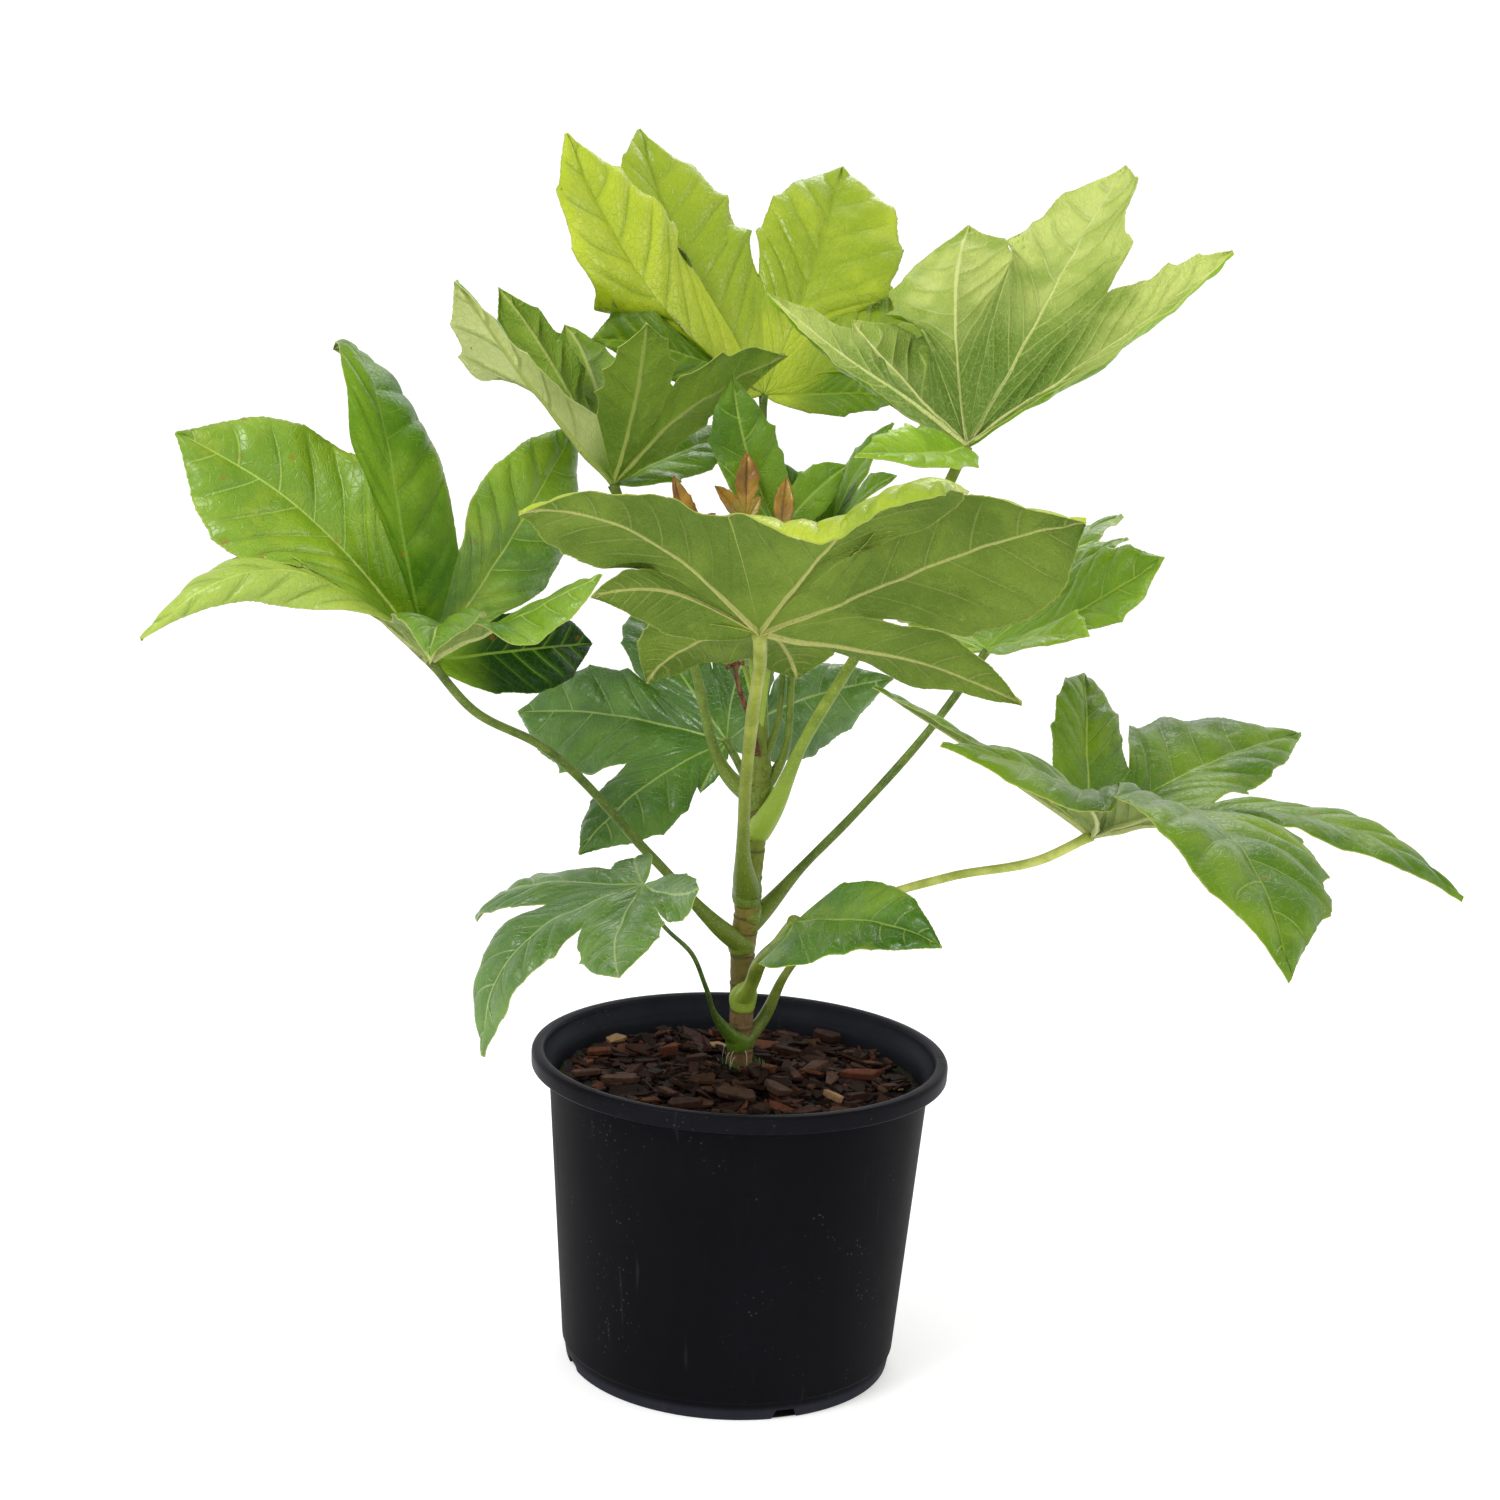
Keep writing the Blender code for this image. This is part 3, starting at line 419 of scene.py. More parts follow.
# %% Tools for turning and cutting
def lathe(profile, steps):
    """Points and faces of a profile of (radius, height) turned about the upright axis."""
    points = []
    starts = []
    for radius, z in profile:
        starts.append(len(points))
        count = 1 if radius == 0 else steps
        for s in range(count):
            angle = 2 * math.pi * s / steps
            points.append((radius * math.cos(angle), radius * math.sin(angle), z))
    faces = []
    for ring, (first, second) in enumerate(zip(profile, profile[1:])):
        for s in range(steps):
            n = (s + 1) % steps
            a = starts[ring] + (0 if first[0] == 0 else s)
            b = starts[ring] + (0 if first[0] == 0 else n)
            c = starts[ring + 1] + (0 if second[0] == 0 else n)
            d = starts[ring + 1] + (0 if second[0] == 0 else s)
            corners = tuple(dict.fromkeys((a, d, c, b)))
            if len(corners) > 2:
                faces.append(corners)
    return points, faces


def box_cutter(size, place, turn, top=1.0):
    """A closed box in millimetres, turned about the upright axis. top narrows its upper end."""
    bm = bmesh.new()
    bmesh.ops.create_cube(bm, size=1.0)
    for corner in bm.verts:
        if corner.co.z > 0:
            corner.co.y *= top
    bmesh.ops.scale(bm, vec=[s * MM for s in size], verts=bm.verts)
    mesh = bpy.data.meshes.new("cutter")
    bm.to_mesh(mesh)
    bm.free()
    cutter = bpy.data.objects.new("cutter", mesh)
    cutter.location = [c * MM for c in place]
    cutter.rotation_euler = (0, 0, turn)
    bpy.context.scene.collection.objects.link(cutter)
    return cutter


def cut(piece, cutter):
    """Takes the cutter's shape away from the piece, and then the cutter itself."""
    bpy.context.view_layer.update()
    apply_modifier(piece, "BOOLEAN", object=cutter, operation="DIFFERENCE", solver="EXACT")
    bpy.data.objects.remove(cutter, do_unlink=True)


print("tools for turning and cutting ready")

# %% [markdown]
# The plastic is black and dull, and bluish where light falls on it. The rim shines a little more than the
# body, because hands polish it, and its colour is painted a little lighter and bluer, a painted sheen.
# The inner wall is painted lighter still, a painted reflection. The finish asks how high a point is and
# how far from the axis, and so it knows the rim, the outside and the inner wall apart.

# %% Finish of the pot's plastic
# In metres: the cone between the inner and the outer wall, and where rim and lip begin.
CONE_SLOPE = 0.0784
CONE_FOOT = 0.0988
RIM_BAND = (0.1800, 0.1822)
LIP_BAND = (0.1182, 0.1196)
black = Finish("black_plastic", Specular_IOR_Level=0.03)
where = black.place()
split = black.add("SeparateXYZ", {0: where}).node.outputs
height = split[2]
out = black.math("MULTIPLY_ADD", split[0], split[0], black.times(split[1], split[1]))
out = black.math("SQRT", out)
rim = black.step(height, *RIM_BAND)
# The inner wall is the part nearer to the axis than a cone half a wall inside the outer one.
cone = black.math("MULTIPLY_ADD", height, CONE_SLOPE, CONE_FOOT)
within = black.step(black.math("SUBTRACT", out, cone), -0.0002, 0.0002, 1.0, 0.0)
lip = black.times(rim, black.step(out, *LIP_BAND, 1.0, 0.0))
within = black.math("MAXIMUM", within, lip)
cloud = black.noise(black.stretch(where, 1.0, 1.0, 0.35), 28.0, 4.0)
body_tone = black.mix(cloud, linear(7, 7, 10), linear(17, 16, 20))
# Painted sheen: the rim is painted lighter and bluer than the body.
rim_painted_sheen = black.mix(cloud, linear(11, 10, 13), linear(25, 25, 31))
tone = black.mix(rim, body_tone, rim_painted_sheen)
# Painted reflection: the inner wall is painted much lighter and bluer than the outside.
tone = black.mix(within, tone, black.mix(cloud, linear(28, 29, 35), linear(44, 45, 53)))
# Dust lies in small pale specks, in a few patches.
specks = black.cells(where, 260.0, "F1")
patches = black.step(black.noise(where, 22.0, 2.0), 0.56, 0.66)
dust = black.times(black.step(specks, 0.08, 0.20, 1.0, 0.0), patches)
tone = black.mix(black.times(dust, 0.22), tone, linear(110, 108, 102))
# Handling leaves long upright scuffs.
scuffs = black.noise(black.stretch(where, 1.0, 1.0, 0.06), 160.0, 2.0)
scuffed = black.step(scuffs, 0.66, 0.74)
tone = black.mix(black.times(scuffed, 0.22), tone, linear(60, 57, 58))
sheen = black.plus(black.times(cloud, 0.22), 0.44)
sheen = black.math("MULTIPLY_ADD", rim, -0.16, sheen)
sheen = black.plus(sheen, black.times(scuffed, 0.2))
grain = black.plus(black.noise(where, 900.0, 2.0), black.times(scuffs, 0.5))
black.finish(tone, sheen, black.bump(grain, 0.05, 0.5))
print("nodes in the plastic:", len(black.nodes))

# %% Turn the pot and cut its notches and drain holes
POT_STEPS = 150
NOTCHES = 4
NOTCH_TURN = 24.0
NOTCH_SIZE = (14.0, 21.0, 11.4)
NOTCH_TOP = 0.52
DRAIN_HOLES = 6
DRAIN_CIRCLE = 80.0
DRAIN_SIZE = (9.0, 9.0, 12.0)
points, faces = lathe(profile, POT_STEPS)
pot = make_piece("nursery_pot", points, faces, [black.material])
for k in range(NOTCHES):
    angle = 2 * math.pi * (k + 0.5) / NOTCHES - math.radians(NOTCH_TURN)
    spot = (FOOT_RADIUS * math.cos(angle), FOOT_RADIUS * math.sin(angle), 0)
    cut(pot, box_cutter(NOTCH_SIZE, spot, angle, NOTCH_TOP))
for k in range(DRAIN_HOLES):
    angle = 2 * math.pi * k / DRAIN_HOLES
    spot = (DRAIN_CIRCLE * math.cos(angle), DRAIN_CIRCLE * math.sin(angle), FLOOR_UNDER)
    cut(pot, box_cutter(DRAIN_SIZE, spot, angle))
settle(pot, "pot", "pot")

# %% [markdown]
# ## Potting mix and bark chips
#
# The pot is filled with composted pine bark. Seen from above it is a bed of dark crumbs with about a
# thousand flat, angular chips on it, most of them dark brown, a few fresh orange or pale. The
# bed is a turned body whose top is roughened with noise. Each chip is a flat stone-like slab with
# an uneven outline, tilted a little and sunk in, drawn with a fixed seed so that it never changes.

# %% Bed of potting mix
SOIL_TOP = [(0.0, 178.0), (30.0, 177.4), (75.0, 174.6), (110.0, 173.0)]
STEM_AT = (0.0, 20.5)
BED_STEPS = 120
BED_RINGS = 32
BED_RIM = 172.0
WALL_GAP = 0.4


def soil_height(radius):
    """Height of the bed's top at this distance from the axis."""
    return float(np.interp(radius, [r for r, z in SOIL_TOP], [z for r, z in SOIL_TOP]))


def ripple(x, y, seed=0.0):
    """A rough sum of waves, between about -1 and 1."""
    return (0.5 * math.sin(0.31 * x + 0.17 * y + seed) + 0.3 * math.sin(0.23 * y - 0.41 * x + 2 * seed)
            + 0.2 * math.sin(0.83 * x + 0.71 * y + 3 * seed) + 0.2 * math.sin(0.9 * y - 0.6 * x))


rise = (BED_RIM - FLOOR_TOP) / (SHOULDER - FLOOR_TOP)
bed_edge = inner_base + (inner_top - inner_base) * rise - WALL_GAP
bed = SOIL_TOP[:1] + [(r, soil_height(r)) for r in np.linspace(3.5, bed_edge - 0.6, BED_RINGS)]
bed += [(bed_edge, BED_RIM - 1), (inner_base - WALL_GAP, FLOOR_TOP + 3),
        (inner_base - 2.2, FLOOR_TOP + 0.4), (0.0, FLOOR_TOP + 0.4)]
points, faces = lathe(bed, BED_STEPS)
points = np.array(points)
for p in points:
    if p[2] > BED_RIM + 0.5:
        p[2] += 1.7 * ripple(p[0], p[1]) + 0.9 * ripple(2.7 * p[0], 2.7 * p[1], 1.0) - 1.0

crumbs = Finish("bark_crumbs", roughness=0.92, Specular_IOR_Level=0.08)
where = crumbs.place()
fine = crumbs.noise(where, 260.0, 5.0)
coarse = crumbs.cells(where, 210.0, "F1", 1)
tone = crumbs.mix(fine, linear(7, 5, 4), linear(34, 22, 17))
tone = crumbs.mix(0.30, tone, crumbs.mix(0.9, coarse, linear(38, 24, 18)))
rough = crumbs.plus(fine, crumbs.cells(where, 330.0, "F1"))
crumbs.finish(tone, None, crumbs.bump(rough, 1.6, 0.9))
mix = make_piece("potting_mix_bed", points, [f[::-1] for f in faces], [crumbs.material])
settle(mix, "bark", "potting_mix")

# %% Finish of the bark chips
def bark_finish(name, dark, light):
    """Layered bark: long dark and light streaks, with a rough matt face."""
    bark = Finish(name, roughness=0.8, Specular_IOR_Level=0.10)
    where = bark.place()
    streaks = bark.noise(bark.stretch(where, 1.0, 0.3, 0.6), 330.0, 5.0, 0.65)
    blots = bark.noise(where, 70.0, 3.0)
    tone = bark.mix(streaks, dark, light)
    tone = bark.mix(bark.step(blots, 0.5, 0.7, 0.0, 0.55), tone, dark)
    pits = bark.step(bark.cells(where, 420.0, "F1"), 0.0, 0.35, 1.0, 0.0)
    tone = bark.mix(bark.times(pits, 0.4), tone, linear(18, 11, 9))
    return bark.finish(tone, None, bark.bump(bark.plus(streaks, blots), 0.8, 0.8))


BARKS = [
    bark_finish("bark_dark", linear(17, 10, 8), linear(50, 31, 23)),
    bark_finish("bark_red_brown", linear(32, 18, 14), linear(74, 47, 37)),
    bark_finish("bark_brown", linear(44, 29, 23), linear(98, 70, 56)),
    bark_finish("bark_orange", linear(60, 32, 22), linear(116, 68, 48)),
    bark_finish("bark_pale", linear(104, 76, 52), linear(176, 142, 104)),
]
BARK_SHARES = [0.56, 0.24, 0.13, 0.06, 0.004]
print("kinds of bark:", len(BARKS))

# %% [markdown]
# A chip is four rings of the same uneven outline, closed by two caps. The mesh is flat shaded, so
# that every broken face keeps its own light. First the drawn chips are laid in three layers, small
# ones at the bottom and large ones on top.

# %% One chip
OUTLINE_POWER = 0.55
CHIP_RINGS = [(0.93, 0.5), (1.0, 0.34), (0.98, -0.36), (0.84, -0.5)]


def chip(draw, centre, size, turn, lean):
    """Points and faces of one slab, tilted by lean and turned about the upright axis."""
    length, width, thick = size
    corners = draw.randint(4, 7)
    taper = draw.uniform(-0.8, 0.8)
    outline = []
    for k in range(corners):
        angle = 2 * math.pi * (k + draw.uniform(-0.25, 0.25)) / corners
        reach = draw.uniform(0.78, 1.0)
        # A power under one pushes the corners out, so a chip is more a slab than an oval.
        x = math.copysign(abs(math.cos(angle))**OUTLINE_POWER, math.cos(angle))
        y = math.copysign(abs(math.sin(angle))**OUTLINE_POWER, math.sin(angle))
        outline.append((0.5 * length * reach * x, 0.5 * width * reach * y * (1 + taper * x * 0.6)))
    warp = draw.uniform(-0.12, 0.12)
    points = []
    for share, z in CHIP_RINGS:
        for x, y in outline:
            bend = warp * thick * (x / length)**2 * 8
            points.append((x * share, y * share, z * thick + bend + draw.uniform(-0.08, 0.08) * thick))
    faces = ring_faces(len(CHIP_RINGS), corners, flip=True)
    faces.append(tuple(range(corners)))
    faces.append(tuple(range(len(points) - 1, len(points) - corners - 1, -1)))
    tilt = (Matrix.Rotation(turn, 3, "Z") @ Matrix.Rotation(lean[0], 3, "X")
            @ Matrix.Rotation(lean[1], 3, "Y"))
    placed = [tuple(tilt @ Vector(p) + Vector(centre)) for p in points]
    return placed, faces


print("chip helper ready")

# %% Drawn chips
draw = random.Random(11)
# For each layer: how many, shortest and longest, and how far above the bed.
CHIP_LAYERS = [(620, 5.0, 12.0, -0.6), (400, 8.0, 20.0, 0.6), (150, 13.0, 26.0, 1.8)]
CHIP_EDGE = 107.0
ROOM_AT_STEM = 9
points, faces, kinds = [], [], []


def add_chip(made, kind):
    """Puts one chip's points and faces with the others."""
    start = len(points)
    points.extend(made[0])
    faces.extend(tuple(start + c for c in face) for face in made[1])
    kinds.extend([kind] * len(made[1]))


for count, shortest, longest, lift in CHIP_LAYERS:
    for k in range(count):
        length = draw.uniform(shortest, longest)
        radius = (CHIP_EDGE - 0.5 * length) * math.sqrt(draw.random())
        angle = draw.uniform(0, 2 * math.pi)
        x, y = radius * math.cos(angle), radius * math.sin(angle)
        if math.hypot(x - STEM_AT[0], y - STEM_AT[1]) < ROOM_AT_STEM + 0.5 * length:
            continue
        size = (length, length * draw.uniform(0.20, 0.62), draw.uniform(1.0, 3.0))
        place = (x, y, soil_height(radius) + lift + draw.uniform(-0.8, 1.8))
        lean = (draw.gauss(0, 0.34), draw.gauss(0, 0.24))
        add_chip(chip(draw, place, size, draw.uniform(0, math.pi), lean),
                 draw.choices(range(len(BARKS)), BARK_SHARES)[0])
print("chips drawn:", len(points), "points so far")

# %% [markdown]
# Some chips are easy to recognise in the photo: a pale one near the front rim, broad brown ones in front
# and a few orange ones. These are placed one by one, on top of the drawn ones.

# %% Chips placed one by one
# Each is (x, y), (length, width, thickness), turn in degrees, and which bark it is.
KNOWN_CHIPS = [
    ((56, -41), (16, 6, 4), -38, 4),
    ((22, -36), (26, 15, 4), -62, 2),
    ((73, 4), (27, 8, 4), 4, 3),
    ((18, -3), (12, 7, 4), -20, 3),
    ((-77, 57), (14, 11, 3), 30, 4),
    ((-44, 32), (14, 7, 5), 24, 3),
    ((8, -4), (24, 7, 4), 62, 1),
    ((-71, -26), (26, 12, 4), 8, 2),
    ((-91, -13), (20, 10, 3), 20, 2),
    ((46, 9), (21, 16, 4), 40, 2),
    ((56, 84), (20, 13, 5), -25, 1),
    ((30, 41), (24, 8, 4), -8, 1),
    ((-2, -48), (29, 13, 4), -14, 2),
    ((-26, 13), (18, 8, 4), 30, 1),
    ((70, -37), (17, 9, 4), 12, 1),
    ((-91, 5), (9, 6, 3), 50, 3),
    ((-86, 30), (18, 7, 3), -12, 3),
    ((-30, -66), (24, 11, 4), -5, 1),
    ((40, -70), (20, 10, 4), 35, 1),
    ((-8, 78), (22, 9, 4), 10, 1),
]
for (x, y), size, turn, kind in KNOWN_CHIPS:
    radius = math.hypot(x, y)
    shift = min(1.0, (CHIP_EDGE - 0.45 * size[0]) / radius)
    place = (x * shift, y * shift, soil_height(radius * shift) + 4.4)
    lean = (draw.gauss(0, 0.12), draw.gauss(0, 0.10))
    add_chip(chip(draw, place, size, math.radians(turn), lean), kind)
chips = make_piece("bark_chips", points, faces, BARKS, kinds)
chips.data.shade_flat()
settle(chips, "bark")

# %% [markdown]
# ## The stem
#
# The stem is a green shoot that has turned woody from below. It is brown with small corky dots at
# the soil and olive higher up, and every fallen or standing leaf has left a ring round it. It is a
# tube along the solid stem, and the ring scars and a fine grain are pressed into the points
# themselves.

# %% Curves shared by stem and stalks
def smooth_path(points, count):
    """Points evenly along a smooth curve through the given ones."""
    given = np.array(points, float)
    spans = np.linalg.norm(given[1:] - given[:-1], axis=1)
    slopes = (given[1:] - given[:-1]) / spans[:, None]
    before, after = spans[:-1, None], spans[1:, None]
    inner = (slopes[:-1] * after + slopes[1:] * before) / (before + after)
    slopes = np.concatenate([slopes[:1], inner, slopes[-1:]])
    reach = np.concatenate([[0.0], np.cumsum(spans)])
    found = []
    for way in np.linspace(0.0, reach[-1], count):
        k = min(int(np.searchsorted(reach, way, side="right")) - 1, len(spans) - 1)
        t = (way - reach[k]) / spans[k]
        found.append((2 * t**3 - 3 * t**2 + 1) * given[k] + (3 * t**2 - 2 * t**3) * given[k + 1]
                     + spans[k] * ((t**3 - 2 * t**2 + t) * slopes[k]
                                   + (t**3 - t**2) * slopes[k + 1]))
    return np.array(found)


def unit(v):
    """The vectors at length one."""
    return v / np.maximum(np.linalg.norm(v, axis=-1, keepdims=True), 1e-9)


def ease(x):
    """Smooth step from 0 to 1."""
    x = np.clip(x, 0, 1)
    return x * x * (3 - 2 * x)


def swept(path, across, wide, deep, steps):
    """Rings of points round a path. wide and deep are the radii along across and square to it."""
    run = unit(np.gradient(path, axis=0))
    side = np.array(across, float)
    points = []
    for centre, ahead, a, b in zip(path, run, wide, deep):
        side = unit(side - (side @ ahead) * ahead)
        other = np.cross(ahead, side)
        for s in range(steps):
            angle = 2 * math.pi * s / steps
            points.append(centre + side * a * math.cos(angle) + other * b * math.sin(angle))
    return np.array(points)


def capped(rings, steps):
    """Faces of a swept tube with both ends closed."""
    faces = ring_faces(rings, steps)
    faces.append(tuple(range(steps - 1, -1, -1)))
    faces.append(tuple(range((rings - 1) * steps, rings * steps)))
    return faces


def tube_maps(marks, steps):
    """UV of each face corner of a capped tube: how far along it is, and the mark of its ring."""
    last = len(marks) - 1
    out = []
    for ring in range(last):
        near, far = [(r / last, marks[r]) for r in (ring, ring + 1)]
        out += [near, near, far, far] * steps
    return out + [(0.0, 0.0)] * steps + [(1.0, 0.0)] * steps


print("curve helpers ready")

# %% Shape of the stem
# Each is (x, y, z) and radius.
STEM = [
    ((0, 21, 120), 6.6), ((0, 20, 178), 7.6), ((0, 20, 190), 7.8), ((0, 19, 212), 7.1),
    ((0, 19, 224), 7.7), ((-1, 18, 244), 7.2), ((-1, 18, 258), 8.0), ((0, 17, 272), 7.4),
    ((0, 17, 286), 8.0), ((2, 16, 305), 6.8), ((3, 15, 322), 6.9), ((5, 14, 338), 5.9),
    ((6, 13, 352), 5.3), ((5, 12, 368), 4.3), ((3, 11, 384), 3.0), ((2, 11, 394), 1.6),
]
STEM_STEPS = 40
STEM_RINGS = 300
# Heights of the ring scars that fallen and standing leaves leave on the stem.
SCARS = [186, 201, 213, 229, 246, 262, 271, 283, 297, 313, 325, 336, 344, 355, 364, 372]
YOUNG_FROM = 330
stem_path = smooth_path([p for p, r in STEM], STEM_RINGS)
heights = [p[2] for p, r in STEM]
stem_radii = np.interp(stem_path[:, 2], heights, [r for p, r in STEM])
marks = np.zeros(STEM_RINGS)
for k, z in enumerate(SCARS):
    near = stem_path[:, 2] - z - 0.6 * math.sin(2.1 * k)
    # The scars near the tip are young and still pale.
    marks = np.maximum(marks, (1.0 if z < YOUNG_FROM else 0.35) * np.exp(-(near / 0.7)**2))
    stem_radii += 0.40 * np.exp(-(near / 0.9)**2) - 0.30 * np.exp(-((near - 1.8) / 0.9)**2)
points = swept(stem_path, (1, 0, 0), stem_radii, stem_radii, STEM_STEPS)
out = unit(points - np.repeat(stem_path, STEM_STEPS, axis=0))
turn = np.tile(np.arange(STEM_STEPS) * 2 * math.pi / STEM_STEPS, STEM_RINGS)
grain = (0.10 * np.sin(5 * turn + 0.05 * points[:, 2]) + 0.07 * np.sin(9 * turn - 0.11 * points[:, 2])
         + 0.08 * np.sin(0.9 * points[:, 2] + 3 * turn))
points += out * grain[:, None]
print("rings of the stem:", STEM_RINGS, "with scars:", len(SCARS))

# %% [markdown]
# The colour goes up the stem in stretches, because each part is as old as the leaves it bore. A
# wobble keeps their borders from being level lines, and each ring scar is a dark line.

# %% Finish of the stem
bark = Finish("young_bark", roughness=0.62, Specular_IOR_Level=0.35)
where = bark.place()
height = bark.add("SeparateXYZ", {0: where}, 2)
scar = bark.uv("marks")[1]
speck = bark.noise(bark.stretch(where, 1.0, 1.0, 0.35), 420.0, 4.0)
blot = bark.noise(where, 85.0, 3.0)
wobble = bark.math("MULTIPLY_ADD", blot, 0.012, height)
tone = bark.mix(speck, linear(84, 62, 34), linear(148, 118, 76))
# Each stretch of stem, from this height up in metres, has its own dark and light colour.
STRETCHES = [
    (0.221, linear(76, 68, 20), linear(118, 106, 40)),
    (0.252, linear(94, 84, 26), linear(138, 124, 50)),
    (0.284, linear(86, 98, 16), linear(126, 138, 36)),
    (0.329, linear(80, 68, 26), linear(118, 100, 46)),
    (0.343, linear(84, 100, 24), linear(122, 134, 44)),
]
for low, dark, light in STRETCHES:
    tone = bark.mix(bark.step(wobble, low - 0.003, low + 0.004), tone, bark.mix(speck, dark, light))
tone = bark.mix(bark.step(blot, 0.56, 0.72, 0.0, 0.35), tone, linear(74, 52, 30))
# Corky dots are wider than they are tall.
dots = bark.cells(bark.stretch(where, 0.55, 0.55, 1.0), 420.0, "F1")
dots = bark.step(dots, 0.12, 0.24, 1.0, 0.0)
tone = bark.mix(bark.times(dots, 0.55), tone, linear(64, 44, 28))
tone = bark.mix(bark.times(scar, 0.85), tone, linear(48, 34, 18))
relief = bark.plus(speck, bark.times(dots, 0.6))
bark.finish(tone, None, bark.bump(relief, 0.5, 0.7))
stem = make_piece("plant_stem", points, capped(STEM_RINGS, STEM_STEPS), [bark.material],
                  maps={"marks": tube_maps(marks, STEM_STEPS)})
settle(stem, "stem", "stem")

# %% [markdown]
# ## The leaves, as a table
#
# A leaf of this plant is a fan of lobes that share one base, like fingers: two to seven of them
# here. Its whole form follows from a few numbers a lobe: where the midrib points, how long it is,
# how far it bends, how wide it is on each side and how its two sides fold. The solids were made
# from such a table too, so a leaf made here lies where its solid is. What the solids can do without
# is only here: the exact widths of the stalks, and a lobe of the left leaf that hangs over like a
# gutter turned upside down.
#
# Each lobe row is: heading, rise, reach, width on the minus and plus side, arch, fold on the minus
# and plus side, sweep. Angles are in degrees and lengths in millimetres. Of the other entries, base
# is where the lobes meet, sinus how far each web reaches, stalk the points of the leaf stalk, and
# radii its radii at its foot, in its middle and at its end.

